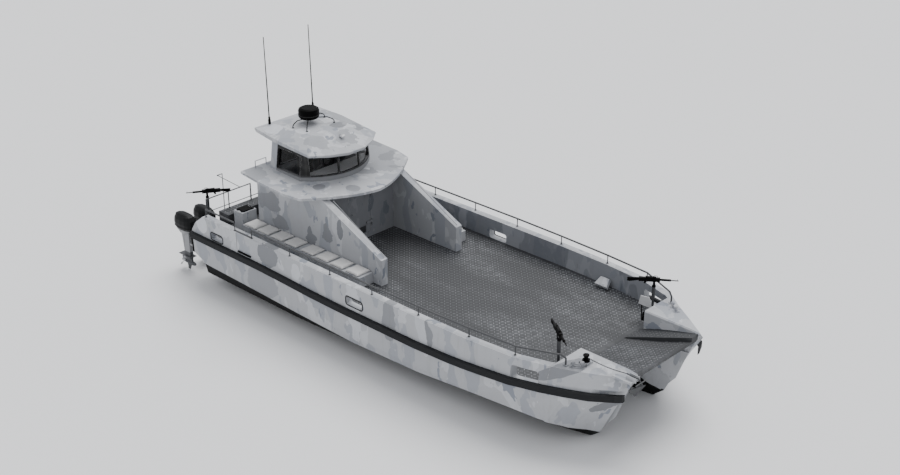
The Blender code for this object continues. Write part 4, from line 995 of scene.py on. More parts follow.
@dataclass(frozen=True)
class RubberFinish(Finish):
    """Black rubber with moulding lines along it and chalky scuffs."""

    def build(self, effects: SharedEffects) -> bpy.types.Material:
        """The finished material."""
        material = Material(self.name, Shell(roughness=0.72, specular=0.2))
        draft = material.draft
        grain = material.effect(effects.grain, Size=120.0)
        long_scuffs = draft.placed(material.position, (0.0, 0.0, 0.0), (1.6, 9.0, 60.0))
        scuff = draft.step(draft.noise(long_scuffs, 1.0, 4.0), 0.56, 0.76)
        colour = draft.lay(grey(28.0, 2.0), scuff, 0.22, grey(76.0))
        colour = material.worn(effects, colour, 0.01, 1.1, 0.35, 88.0)
        roughness = draft.plus(draft.times(scuff, 0.1), 0.66)
        return material.finished(colour, roughness, grain["Height"], 0.5, 0.0006)


@dataclass(frozen=True)
class TreadFinish(Finish):
    """Dark deck plate: the sheet between the raised bars, or the bars, which use keeps bright.

    Attributes:
        low_tone: Display grey of the parts that see no use.
        high_tone: Display grey of the trodden parts.
        metallic: How metallic it looks.
    """

    low_tone: float
    high_tone: float
    metallic: float

    def build(self, effects: SharedEffects) -> bpy.types.Material:
        """The finished material."""
        material = Material(self.name, Shell(roughness=0.5, metallic=self.metallic, specular=0.4))
        draft = material.draft
        grain = material.effect(effects.grain, Size=45.0)
        tracks = draft.placed(material.position, (2.0, 1.0, 0.0), (0.35, 1.1, 1.0))
        trodden = draft.step(draft.noise(tracks, 1.0, 3.0), 0.36, 0.66)
        share = draft.times(trodden, draft.step(grain["Variation"], 0.3, 0.7))
        colour = draft.mix(share, grey(self.low_tone, 2.0), grey(self.high_tone, 3.0))
        roughness = draft.less(0.62, draft.times(share, 0.22))
        return material.finished(colour, roughness, grain["Height"], 0.5, 0.0008)


@dataclass(frozen=True)
class VinylFinish(Finish):
    """Seat vinyl with a pebbled grain and a tone that darkens a little in soft patches.

    Attributes:
        tone: Display grey of the vinyl.
    """

    tone: float

    def build(self, effects: SharedEffects) -> bpy.types.Material:
        """The finished material."""
        material = Material(self.name, Shell(roughness=0.55, specular=0.4, coat=0.05))
        draft = material.draft
        inputs = {"Vector": material.position, "Scale": 420.0}
        pebbles = draft.add("TexVoronoi", inputs, feature="SMOOTH_F1").outputs["Distance"]
        grain = material.effect(effects.grain, Size=35.0)
        varied = draft.step(grain["Variation"], 0.3, 0.75)
        colour = draft.lay(grey(self.tone, -2.0), varied, 0.25, grey(self.tone * 0.84, -4.0))
        colour = material.worn(effects, colour, 0.02, 1.2, 0.3, min(self.tone + 22.0, 235.0))
        height = draft.plus(pebbles, draft.times(grain["Height"], 0.4))
        roughness = draft.plus(draft.times(pebbles, 0.12), 0.5)
        return material.finished(colour, roughness, height, 0.45, 0.0012)


@dataclass(frozen=True)
class GlassFinish(Finish):
    """Tinted pane: dark, clear enough to show the dash behind it, with a thin salt haze."""

    def build(self, effects: SharedEffects) -> bpy.types.Material:
        """The finished material."""
        material = Material(self.name, Shell(roughness=0.06, specular=0.35, alpha=0.24))
        draft = material.draft
        haze = draft.step(material.effect(effects.grain, Size=5.0)["Variation"], 0.45, 0.85)
        colour = draft.lay(grey(14.0, 2.0), haze, 0.06, grey(120.0))
        return material.finished(colour, draft.plus(draft.times(haze, 0.10), 0.04))


@dataclass(frozen=True)
class EngineFinish(Finish):
    """Dark paint above the cowl's foot, worn grey metal on the leg, and darker metal round the gear case.

    Attributes:
        cowl_z: Height of the cowl's foot.
        case_z: Height of the gear case's top.
    """

    cowl_z: float = 1.32
    case_z: float = 0.61

    def build(self, effects: SharedEffects) -> bpy.types.Material:
        """The finished material."""
        material = Material(self.name, Shell(roughness=0.46, specular=0.12))
        draft = material.draft
        _, _, z = draft.parts(material.position)
        grain = material.effect(effects.grain, Size=70.0)
        leg = draft.mix(material.effect(effects.dust)["Streaks"], grey(150.0, 2.0), grey(60.0))
        cowl = draft.lay(grey(22.0, 1.0), grain["Variation"], 0.3, grey(15.0))
        colour = draft.mix(draft.step(z, self.cowl_z - 0.005, self.cowl_z + 0.005), leg, cowl)
        low = draft.less(1.0, draft.step(z, self.case_z - 0.01, self.case_z + 0.01))
        colour = draft.mix(low, colour, grey(84.0, 2.0))
        colour = material.worn(effects, colour, 0.008, 1.1, 0.25, 150.0)
        roughness = draft.plus(draft.times(grain["Variation"], 0.2), 0.34)
        return material.finished(colour, roughness, grain["Height"], 0.3, 0.0003)


@dataclass(frozen=True)
class FloorFinish(Finish):
    """A plain pale studio floor with the slightest unevenness.

    Attributes:
        tone: Display grey of the floor.
    """

    tone: float = 230.0

    def build(self, effects: SharedEffects) -> bpy.types.Material:
        """The finished material."""
        material = Material(self.name, Shell(roughness=0.9, specular=0.1))
        varied = material.draft.noise(material.position, 0.05, 2.0)
        return material.finished(material.draft.lay(grey(self.tone), varied, 0.1, grey(self.tone - 10.0)))


CAMOUFLAGE = {
    Area.HULL: SIDE_PATCHES,
    Area.BULWARK: SIDE_PATCHES,
    Area.FOREDECK: SIDE_PATCHES[7:9],
    Area.HOUSE: HOUSE_PATCHES,
    Area.PLATE: BROW_PATCHES + ROOF_PATCHES,
    Area.CABIN: (),
    Area.FITTING: (),
}
FINISHES = (
    *(CamouflagePaint(f"camouflage_{area.value}", area, patches) for area, patches in CAMOUFLAGE.items()),
    RubberFinish("strake_rubber"),
    TreadFinish("tread_plate", 50.0, 70.0, 0.0),
    TreadFinish("tread_bars", 104.0, 164.0, 0.2),
    PlainFinish("rail_steel", 66.0, 150.0, Shell(0.5, 0.25), 140.0, 0.0002, 2.0, 0.003, 0.2),
    PlainFinish("bright_steel", 168.0, 215.0, Shell(0.28, 0.9), 160.0, 0.0001, 2.0, 0.003, 0.3),
    PlainFinish("lamp_chrome", 225.0, 240.0, Shell(0.16, 1.0), 90.0, 0.0001, 0.0, 0.003, 0.0, 0.05),
    PlainFinish(
        "black_metal", 2.0, 40.0, Shell(0.55, specular=0.06), 150.0, 0.0003, 0.0, 0.003, 0.12, dust=0.004
    ),
    PlainFinish("gun_black", 2.0, 34.0, Shell(0.5, specular=0.1), 190.0, 0.0002, 0.0, 0.002, 0.1, dust=0.004),
    PlainFinish("console_plastic", 88.0, 128.0, Shell(0.56), 220.0, 0.0004, 1.0, 0.005, 0.3),
    PlainFinish("dash_grey", 226.0, 236.0, Shell(0.6), 200.0, 0.0003, 0.0, 0.005, 0.3),
    PlainFinish("window_gasket", 30.0, 60.0, Shell(0.7), 200.0, 0.0003, 0.0, 0.003, 0.2),
    PlainFinish("white_fitting", 212.0, 228.0, Shell(0.5), 90.0, 0.0003, 0.0, 0.005, 0.3),
    PlainFinish("painted_weld", 150.0, 190.0, Shell(0.6), 260.0, 0.0008, 2.0, 0.003, 0.3),
    VinylFinish("seat_vinyl", 206.0),
    VinylFinish("helm_vinyl", 62.0),
    GlassFinish("tinted_glass"),
    EngineFinish("engine_paint"),
    FloorFinish("studio_floor"),
)


# ---------------------------------------------------------------- sub-assemblies


@dataclass(frozen=True)
class SubAssembly:
    """A part of the craft: the base of the classes that dress its nodes and add its pieces.

    Attributes:
        materials: Every material of the craft, by name.
    """

    materials: dict[str, bpy.types.Material]

    def dress(self, finish: str, *nodes: str) -> None:
        """Gives CAD nodes their finish; a name with a pair of braces stands for one node a side."""
        for node in nodes:
            for side in [side for side, _ in SIDES] if "{}" in node else [""]:
                dress_node(node.format(side), self.materials[finish])

    def add(
        self, name: str, surface: Surface, finish: str, slot: str = "", **settings: object
    ) -> bpy.types.Object:
        """Adds a piece in a finish, passing on a slot name that is the finish's own unless another is given.
        """
        return add_piece(name, surface, self.materials[finish], slot or finish, **settings)

    def build(self) -> None:
        """Dresses the nodes and adds the pieces."""
        raise NotImplementedError


@dataclass(frozen=True)
class Studio(SubAssembly):
    """Camera, lights, and floor.

    Attributes:
        lens_mm: The camera's lens; the sensor is 36 mm wide, and the frame 900 by 475.
        camera_place: Where the camera stands.
        pitch: Degrees that it looks up from straight down.
        heading: Degrees that it is turned about z.
        floor_half: Half the floor's length.
        lamps: Name, strength, width in degrees, and turns in degrees of each lamp.
    """

    lens_mm: float = 54.845
    camera_place: tuple[float, float, float] = (29.479 - FRAME_SHIFT_X, -23.293, 18.159)
    pitch: float = 64.483
    heading: float = 43.489
    floor_half: float = 260.0
    lamps: tuple[tuple[str, float, float, tuple[float, float, float]], ...] = (
        ("key", 2.8, 46.0, (27.0, 0.0, -158.0)),
        ("fill", 0.25, 90.0, (60.0, 0.0, 20.0)),
    )

    def build_camera(self) -> None:
        """The photograph's view."""
        data = bpy.data.cameras.new("photo_view")
        data.sensor_width, data.sensor_fit, data.lens = 36.0, "HORIZONTAL", self.lens_mm
        data.clip_end = 600.0
        camera = bpy.data.objects.new("photo_view", data)
        camera.location = self.camera_place
        camera.rotation_euler = (math.radians(self.pitch), 0.0, math.radians(self.heading))
        bpy.context.scene.collection.objects.link(camera)
        bpy.context.scene.camera = camera

    def build_floor(self) -> None:
        """A flat floor: a grid of points at the height of the keels."""
        count = 5
        across = np.linspace(-self.floor_half, self.floor_half, count)
        plan = np.stack(np.meshgrid(across, across, indexing="ij"), axis=-1).reshape(-1, 2)
        surface = Surface(at_height(plan, 0.0), grid_faces(count, count, False, False))
        mesh = mesh_of("studio_floor", surface, 30.0)
        mesh.materials.append(self.materials["studio_floor"])
        floor = bpy.data.objects.new("studio_floor", mesh)
        if mesh.polygons[0].normal.z < 0:
            mesh.flip_normals()
        bpy.context.scene.collection.objects.link(floor)

    def build_lights(self) -> None:
        """A pale sky all round, a broad soft lamp high on the port quarter, and a faint one ahead of it."""
        world = bpy.data.worlds.new("studio")
        world.use_nodes = True
        background = world.node_tree.nodes["Background"]
        background.inputs[0].default_value = (0.93, 0.95, 1.0, 1.0)
        background.inputs[1].default_value = 0.86
        bpy.context.scene.world = world
        for name, energy, angle, turns in self.lamps:
            data = bpy.data.lights.new(name, "SUN")
            data.energy, data.angle = energy, math.radians(angle)
            lamp = bpy.data.objects.new(name, data)
            lamp.rotation_euler = tuple(math.radians(value) for value in turns)
            bpy.context.scene.collection.objects.link(lamp)

    def build(self) -> None:
        """Builds the studio."""
        self.build_camera()
        self.build_lights()
        self.build_floor()


def box_on_side(sign: float, low: Sequence[float], high: Sequence[float], radius: float) -> Surface:
    """A box with rounded edges on one side of the craft, whose corners are given for the port side.

    Args:
        sign: 1 for port, -1 for starboard.
        low: The aft, inner and lower edges.
        high: The forward, outer and upper edges.
        radius: The edges' radius.

    Returns:
        The box.
    """
    inner, outer = sorted((sign * low[1], sign * high[1]))
    return box_between((low[0], inner, low[2]), (high[0], outer, high[2]), radius)


@dataclass(frozen=True)
class Hulls(SubAssembly):
    """The two hulls, their bulwarks, strakes and foredecks, with side welds, port lips and deck fittings.

    Attributes:
        seam_x: Place of the side welds.
        seam_z: Heights of a weld's two ends.
        seam_points: Points along a weld.
        side_y: Half the width over the bulwarks.
        strip_low: Aft, inner and lower edges of a fairlead strip.
        strip_high: Its forward, outer and upper edges.
        ports: Middle x, half length, low z and top z of each freeing port that wears a lip.
        legs_x: Places of the port board's two legs.
    """

    seam_x: float = 2.03
    seam_z: tuple[float, float] = (1.72, 2.188)
    seam_points: int = 24
    side_y: float = 2.832
    strip_low: tuple[float, float, float] = (2.10, 2.835, 1.655)
    strip_high: tuple[float, float, float] = (2.65, 2.875, 1.700)
    ports: tuple[tuple[float, float, float, float], ...] = (
        (1.145, 0.27, 1.63, 1.86),
        (6.73, 0.31, 1.63, 1.88),
    )
    legs_x: tuple[float, float] = (12.26, 12.48)

    def build_welds(self) -> None:
        """A weld bead on each side, abreast of the rail's gate."""
        for side, sign in SIDES:
            x, y = aft(self.seam_x), sign * self.side_y
            path = np.linspace((x, y, self.seam_z[0]), (x, y, self.seam_z[1]), self.seam_points)
            radii = 0.006 + 0.0015 * np.sin(np.arange(self.seam_points) * 2.1)
            bead = swept_tube(path, radii, 8, (1.0, 0.0, 0.0))
            self.add(f"side_weld_{side}", bead, "painted_weld", "camouflage_paint")

    def build_port_lips(self) -> None:
        """A rubber lip round each freeing port."""
        for index, (middle, half, low, high) in enumerate(self.ports, 1):
            loop = rounded_loop(half, (high - low) / 2.0, 0.07) + np.array([aft(middle), (low + high) / 2.0])
            for side, sign in SIDES:
                path = np.insert(loop, 1, sign * self.side_y, axis=1)
                lip = swept_tube(path, 0.019, 8, (0.0, 1.0, 0.0), 0.6)
                self.add(f"port_lip_{side}_{index}", lip, "window_gasket", "strake_rubber")

    def build_fairleads(self) -> None:
        """A black strip on each rub strake."""
        for side, sign in SIDES:
            strip = box_on_side(sign, self.strip_low, self.strip_high, 0.008)
            self.add(f"strake_fairlead_{side}", strip, "black_metal")

    def build_board(self) -> None:
        """The white board and its legs at the port pedestal."""
        rows = ((12.17, 1.77, 1.98), (12.58, 1.77, 1.98), (12.50, 1.75, 2.27), (12.24, 1.75, 2.24))
        board = plate([(aft(x), y, z) for x, y, z in rows], (0.0, 1.0, 0.0), 0.02)
        self.add("port_board", board, "white_fitting", "camouflage_paint", bevel=0.004)
        legs = [bar((aft(x), 1.80, 1.632), (aft(x), 1.785, 2.02), 0.014) for x in self.legs_x]
        self.add("port_board_legs", joined(legs), "black_metal")

    def build_winch(self) -> None:
        """The hand winch by the port foredeck: a drum on a post with a gear box."""
        foot = ((0.0, 0.0), (0.07, 0.0), (0.07, 0.02), (0.035, 0.035))
        head = ((0.035, 0.10), (0.06, 0.12), (0.06, 0.14), (0.0, 0.14))
        parts = [
            lathe(foot + head).turned(rotation(Axis.Y, 90.0), (aft(12.63), 1.36, 2.02)),
            bar((aft(12.72), 1.31, 1.66), (aft(12.72), 1.31, 2.10), 0.022),
            box_between((12.60, 1.29, 1.86), (12.73, 1.42, 1.96), 0.01),
        ]
        self.add("port_hand_winch", joined(parts), "black_metal")

    def build_step(self) -> None:
        """The wedge on the deck by the port bulwark."""
        rows = ((10.40, 2.30, 1.69), (10.80, 2.30, 1.69), (10.74, 2.50, 1.84), (10.46, 2.50, 1.84))
        wedge = plate([(aft(x), y, z) for x, y, z in rows], (0.0, -0.6, 0.8), 0.12)
        self.add("deck_step", wedge, "camouflage_bench_and_locker", "camouflage_paint", bevel=0.012)

    def build(self) -> None:
        """Paints the nodes and adds the pieces."""
        self.dress("camouflage_hull", "hull_{}", "bridge_deck")
        self.dress("camouflage_bulwark", "bulwark_{}")
        self.dress("camouflage_foredeck", "foredeck_{}")
        self.dress("strake_rubber", "rub_strake_{}")
        self.build_welds()
        self.build_port_lips()
        self.build_fairleads()
        self.build_board()
        self.build_winch()
        self.build_step()


@dataclass(frozen=True)
class TreadDeck(SubAssembly):
    """The cargo deck, bow apron and stern platform, with raised bars over the whole walking surface.

    Attributes:
        pitch: Spacing of the bars.
        bar_length: Length of a bar.
        bar_width: Its width at the foot.
        bar_height: Its height.
        apron_slope: Degrees that the apron's bars are tipped.
        platform_z: Height of the stern platform's top.
    """

    pitch: float = 0.105
    bar_length: float = 0.062
    bar_width: float = 0.018
    bar_height: float = 0.0065
    apron_slope: float = 14.5
    platform_z: float = 1.93

    def bar_shape(self) -> Surface:
        """One raised bar: a low bar with sloping sides, of six faces."""
        length, width, height = self.bar_length / 2.0, self.bar_width / 2.0, self.bar_height
        plan = np.array([[-length, -width], [length, -width], [length, width], [-length, width]])
        low = at_height(plan, 0.0)
        high = low * np.array([0.86, 0.5, 1.0]) + np.array([0.0, 0.0, height])
        faces = [[0, 1, 5, 4], [1, 2, 6, 5], [2, 3, 7, 6], [3, 0, 4, 7], [4, 5, 6, 7], [3, 2, 1, 0]]
        return Surface(np.concatenate([low, high]), np.array(faces))

    def lattice(self, x_range: tuple[float, float], y_range: tuple[float, float]) -> tuple[Array, Array]:
        """Places of the bars in rows, measured from the transom, and each bar's angle, which alternates."""
        row = np.arange(int((x_range[1] - x_range[0]) / self.pitch))
        column = np.arange(int((y_range[1] - y_range[0]) / self.pitch))
        row, column = np.meshgrid(row, column, indexing="ij")
        x = x_range[0] + (row + 0.5) * self.pitch
        y = y_range[0] + (column + 0.5) * self.pitch
        places = np.stack([x, y, np.full_like(x, DECK_Z)], axis=-1).reshape(-1, 3)
        angles = np.where((row + column) % 2 == 0, 1.0, -1.0).reshape(-1) * math.radians(45.0)
        return places, angles

    def add_bars(self, name: str, places: Array, angles: Array, slope: float = 0.0) -> None:
        """Adds bars at places measured from the transom."""
        shape = self.bar_shape().turned(rotation(Axis.Y, -slope))
        bars = repeated(shape, places - np.array([FRAME_SHIFT_X, 0.0, 0.0]), angles)
        self.add(name, bars, "tread_bars", "tread_plate", sharp_degrees=20.0)

    def build_deck_bars(self) -> None:
        """Bars over the open deck, leaving out what stands on it."""
        places, angles = self.lattice((0.52, 12.58), (-2.62, 2.62))
        x, y = places[:, 0], np.abs(places[:, 1])
        house = (x < 6.50) & (x > 0.9) & (y < 1.42) & ((x < 4.02) | (y > 1.28))
        bench = (x > 0.76) & (x < 6.12) & (y > 1.38) & (y < 2.07)
        side = y > np.interp(x, (0.0, 8.9, 10.5, 11.85, 12.65), (2.70, 2.70, 2.64, 2.50, 2.24))
        stern = (x < 0.56) & (y < 1.95)
        kept = ~(house | bench | side | stern)
        self.add_bars("deck_bars", places[kept], angles[kept])

    def build_apron_bars(self) -> None:
        """Bars up the raked apron and its shelves: the height follows the rake between its stations."""
        places, angles = self.lattice((12.64, 14.28), (-1.19, 1.19))
        x, y = places[:, 0], np.abs(places[:, 1])
        stations = (12.60, 12.66, 13.15, 13.70, 14.30)
        shelf_y = np.interp(x, stations, (0.64, 0.65, 0.69, 0.79, 0.98))
        apron_z = np.interp(x, stations, (1.620, 1.635, 1.759, 1.898, 2.050))
        shelf_z = np.interp(x, stations, (1.630, 1.668, 1.845, 2.005, 2.155))
        kept = np.abs(y - shelf_y) > 0.03
        places[:, 2] = np.where(y > shelf_y, shelf_z, apron_z) - 0.001
        self.add_bars("apron_bars", places[kept], angles[kept], self.apron_slope)

    def build_platform_bars(self) -> None:
        """Bars over the raised stern platform."""
        places, angles = self.lattice((0.09, 0.48), (-1.87, 1.87))
        places[:, 2] = self.platform_z
        self.add_bars("platform_bars", places, angles)

    def build(self) -> None:
        """Gives the sheet its dark finish and adds the bars."""
        self.dress("tread_plate", "cargo_deck", "bow_apron", "stern_platform")
        self.build_deck_bars()
        self.build_apron_bars()
        self.build_platform_bars()


@dataclass(frozen=True)
class SideBenches(SubAssembly):
    """Benches and lockers, with a kick strip along each bench's foot and a ring pull on each lid.

    Attributes:
        strip_low: Aft, inner and lower edges of a kick strip.
        strip_high: Its forward, outer and upper edges.
        pull_x: Place of the ring pulls.
        pull_y: Their distance from the middle.
        pull_z: Height of their feet.
    """

    strip_low: tuple[float, float, float] = (1.30, 2.018, 1.632)
    strip_high: tuple[float, float, float] = (6.03, 2.030, 1.70)
    pull_x: float = 0.99
    pull_y: float = 1.53
    pull_z: float = 2.225

    def build(self) -> None:
        """Paints the nodes and adds the trim."""
        self.dress("camouflage_bench_and_locker", "seat_bench_{}", "locker_{}")
        self.dress("black_metal", "locker_lid_{}")
        pull = swept_tube(arch(0.0, 0.014, 0.04, 0.016, 12), 0.0045, 8, (0.0, 1.0, 0.0))
        for side, sign in SIDES:
            strip = box_on_side(sign, self.strip_low, self.strip_high, 0.004)
            self.add(f"bench_kick_strip_{side}", strip, "black_metal")
            placed = pull.moved(aft(self.pull_x), sign * self.pull_y, self.pull_z)
            self.add(f"locker_pull_{side}", placed, "bright_steel", "rail_steel", body=f"locker_lid_{side}")


def soft_box(half: Sequence[float], edge: float, columns: int = 30) -> Surface:
    """A soft box: a grid on top and one below, each lowered towards the rim by a steep power.

    The sides draw in a little between corners.

    Args:
        half: Half the length, width and height.
        edge: Power between 0 and 1; a small one gives a squarer pad.
        columns: Points along one side of the rim.

    Returns:
        The pad, about the origin.
    """
    share = np.linspace(-1.0, 1.0, columns)
    u, v = np.meshgrid(share, share, indexing="ij")
    pull = 0.018
    x = half[0] * u * (1.0 - pull * (1.0 - v**2) * u**4)
    y = half[1] * v * (1.0 - pull * (1.0 - u**2) * v**4)
    rim = np.clip((1.0 - np.abs(u) ** 9.0) * (1.0 - np.abs(v) ** 9.0), 0.0, 1.0) ** edge
    z = half[2] * (0.12 + 0.88 * rim)
    points = np.concatenate([np.stack([x, y, height], axis=-1).reshape(-1, 3) for height in (z, -z)])
    border = np.concatenate(
        [
            np.arange(columns),
            np.arange(1, columns) * columns + columns - 1,
            np.arange(columns * columns - 2, columns * (columns - 1) - 1, -1),
            np.arange(columns - 2, 0, -1) * columns,
        ]
    )
    after = np.roll(border, -1)
    skirt = np.stack([border, after, after + columns**2, border + columns**2], axis=-1)
    faces = grid_faces(columns, columns, False, False)
    return Surface(points, np.concatenate([faces, faces[:, ::-1] + columns**2, skirt]))


def soften(piece: bpy.types.Object) -> None:
    """Rounds off a soft piece with one level of subdivision."""
    smooth = piece.modifiers.new("smooth", "SUBSURF")
    smooth.levels = smooth.render_levels = 1


@dataclass(frozen=True)
class SoftSeats(SubAssembly):
    """Eight pads along each side bench, blown up a little by a cloth simulation, with a piped seam.

    Attributes:
        middles: Place of each pad's middle.
        length: Length of a pad.
        width: Its width.
        bottom_z: Height of the bench's top.
        thickness: Thickness of a pad.
        middle_y: Distance of the pads' middles from the craft's.
        swell: How far a point may move in the simulation.
        last_frame: Where the simulation ends.
    """

    middles: tuple[float, ...] = (1.58, 2.13, 2.71, 3.29, 3.97, 4.56, 5.14, 5.74)
    length: float = 0.50
    width: float = 0.47
    bottom_z: float = 1.9225
    thickness: float = 0.077
    middle_y: float = 1.775
    swell: float = 0.007
    last_frame: int = 20

    def blown(self, name: str, surface: Surface) -> Surface:
        """The surface after a cloth simulation with pressure, each point moved no further than the cap.

        Args:
            name: A name for the helper object.
            surface: The pad at rest.
        """
        scene = bpy.context.scene
        mesh = mesh_of(name, surface, 60.0)
        helper = bpy.data.objects.new(name, mesh)
        scene.collection.objects.link(helper)
        cloth = helper.modifiers.new("blown", "CLOTH")
        cloth.settings.use_pressure = True
        cloth.settings.uniform_pressure_force = 4.0
        cloth.settings.quality = 5
        cloth.settings.tension_stiffness = 30.0
        cloth.settings.effector_weights.gravity = 0.0
        cloth.point_cache.frame_start, cloth.point_cache.frame_end = 1, self.last_frame
        for number in range(1, self.last_frame + 1):
            scene.frame_set(number)
        evaluated = helper.evaluated_get(bpy.context.evaluated_depsgraph_get())
        result = evaluated.to_mesh()
        count = len(mesh.vertices)
        before, after = np.empty(count * 3), np.empty(count * 3)
        mesh.vertices.foreach_get("co", before)
        result.vertices.foreach_get("co", after)
        faces = np.empty(len(mesh.polygons) * 4, int)
        mesh.polygons.foreach_get("vertices", faces)
        evaluated.to_mesh_clear()
        bpy.data.objects.remove(helper)
        scene.frame_set(1)
        before, moved = before.reshape(-1, 3), (after - before).reshape(-1, 3)
        reach = np.linalg.norm(moved, axis=1, keepdims=True)
        moved *= np.minimum(1.0, self.swell / np.maximum(reach, 1e-9))
        return Surface(before + moved, faces.reshape(-1, 4))

    def build(self) -> None:
        """Simulates two pads, then sets eight on each bench, each with its own slight size and turn."""
        swell = self.swell
        half = (self.length / 2.0 - swell, self.width / 2.0 - swell, self.thickness / 2.0 - swell * 0.6)
        piping = swept_tube(at_height(rounded_loop(half[0] + 0.003, half[1] + 0.003, 0.03), 0.0), 0.0045, 8)
        shapes = []
        for index, edge in enumerate((0.5, 0.42)):
            shapes.append(joined([self.blown(f"pad_form_{index}", soft_box(half, edge)), piping]))
        random = np.random.default_rng(7)
        for side, sign in SIDES:
            for index, middle in enumerate(self.middles):
                shape = shapes[index % 2]
                size = 1.0 + random.uniform(-0.008, 0.004, 3)
                turn = rotation(Axis.Z, float(random.uniform(-0.7, 0.7)))
                lift = self.bottom_z + self.thickness - float(shape.points[:, 2].max()) * size[2] - 0.001
                place = (aft(middle), sign * self.middle_y, lift)
                pad = Surface(shape.points * size, shape.faces).turned(turn, place)
                pad.points[:, 2] = np.maximum(pad.points[:, 2], self.bottom_z)
                piece = self.add(f"seat_pad_{side}_{index + 1}", pad, "seat_vinyl", sharp_degrees=60.0)
                soften(piece)
                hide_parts(f"seat_pads_{side}")


@dataclass(frozen=True)
class Rails(SubAssembly):
    """Side rails and stern rail, with a round foot flange at each post.

    Attributes:
        stanchions: Place of each post from the transom and from the middle.
    """

    stanchions: tuple[tuple[float, float], ...] = (
        (0.62, 2.755),
        (1.90, 2.755),
        (2.62, 2.755),
        (4.19, 2.755),
        (5.76, 2.755),
        (7.32, 2.755),
        (8.91, 2.72),
        (10.51, 2.65),
        (11.85, 2.54),
    )

    def build(self) -> None:
        """Gives the tubes their steel, and adds the flanges of each side as one piece."""
        self.dress("rail_steel", "side_rail_{}", "stern_rail")
        rows = ((0.0145, 0.0), (0.036, 0.0), (0.036, 0.006), (0.022, 0.010), (0.018, 0.022), (0.0145, 0.022))
        flange = lathe(rows, 14, closed=True)
        for side, sign in SIDES:
            plan = np.array(self.stanchions) * np.array([1.0, sign]) - np.array([FRAME_SHIFT_X, 0.0])
            feet = repeated(flange, at_height(plan, CAP_Z + 0.0005), np.zeros(len(plan)))
            self.add(f"stanchion_feet_{side}", feet, "rail_steel")


@dataclass(frozen=True)
class Deckhouse(SubAssembly):
    """The deckhouse with its wings and door, the brow over it, a kick plate and weld beads.

    Attributes:
        plate_half: Half the length, width and height of the kick plate.
        plate_lift: Height of its middle over the door's foot.
        plate_inset: How far it stands aft of the door's foremost point.
        weld_top: Place and height of a wing bead's upper end.
        weld_foot: Place and height of its lower end.
        weld_y: The beads' distance from the middle.
    """

    plate_half: tuple[float, float, float] = (0.004, 0.17, 0.10)
    plate_lift: float = 0.16
    plate_inset: float = 0.055
    weld_top: tuple[float, float] = (4.42, 3.40)
    weld_foot: tuple[float, float] = (6.36, 2.395)
    weld_y: float = 1.36

    def build(self) -> None:
        """Paints the nodes, and adds the door's kick plate and the bead down each wing's sloping edge."""
        self.dress("camouflage_deckhouse", "deckhouse", "deckhouse_door")
        self.dress("camouflage_brow_and_roof", "brow_platform")
        low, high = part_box("deckhouse_door")
        middle = float(low[1] + high[1]) / 2.0
        place = (float(high[0]) - self.plate_inset, middle, float(low[2]) + self.plate_lift)
        kick_plate = round_box(self.plate_half, 0.003, 2).moved(*place)
        self.add("door_kick_plate", kick_plate, "rail_steel", body="deckhouse_door")
        for side, sign in SIDES:
            top, foot = [(aft(x), sign * self.weld_y, z) for x, z in (self.weld_top, self.weld_foot)]
            path = np.linspace(top, foot, 16)
            strip = swept_tube(path, 0.012, 8, (0.0, 1.0, 0.0), 0.5)
            self.add(f"wing_edge_weld_{side}", strip, "painted_weld", "camouflage_paint")


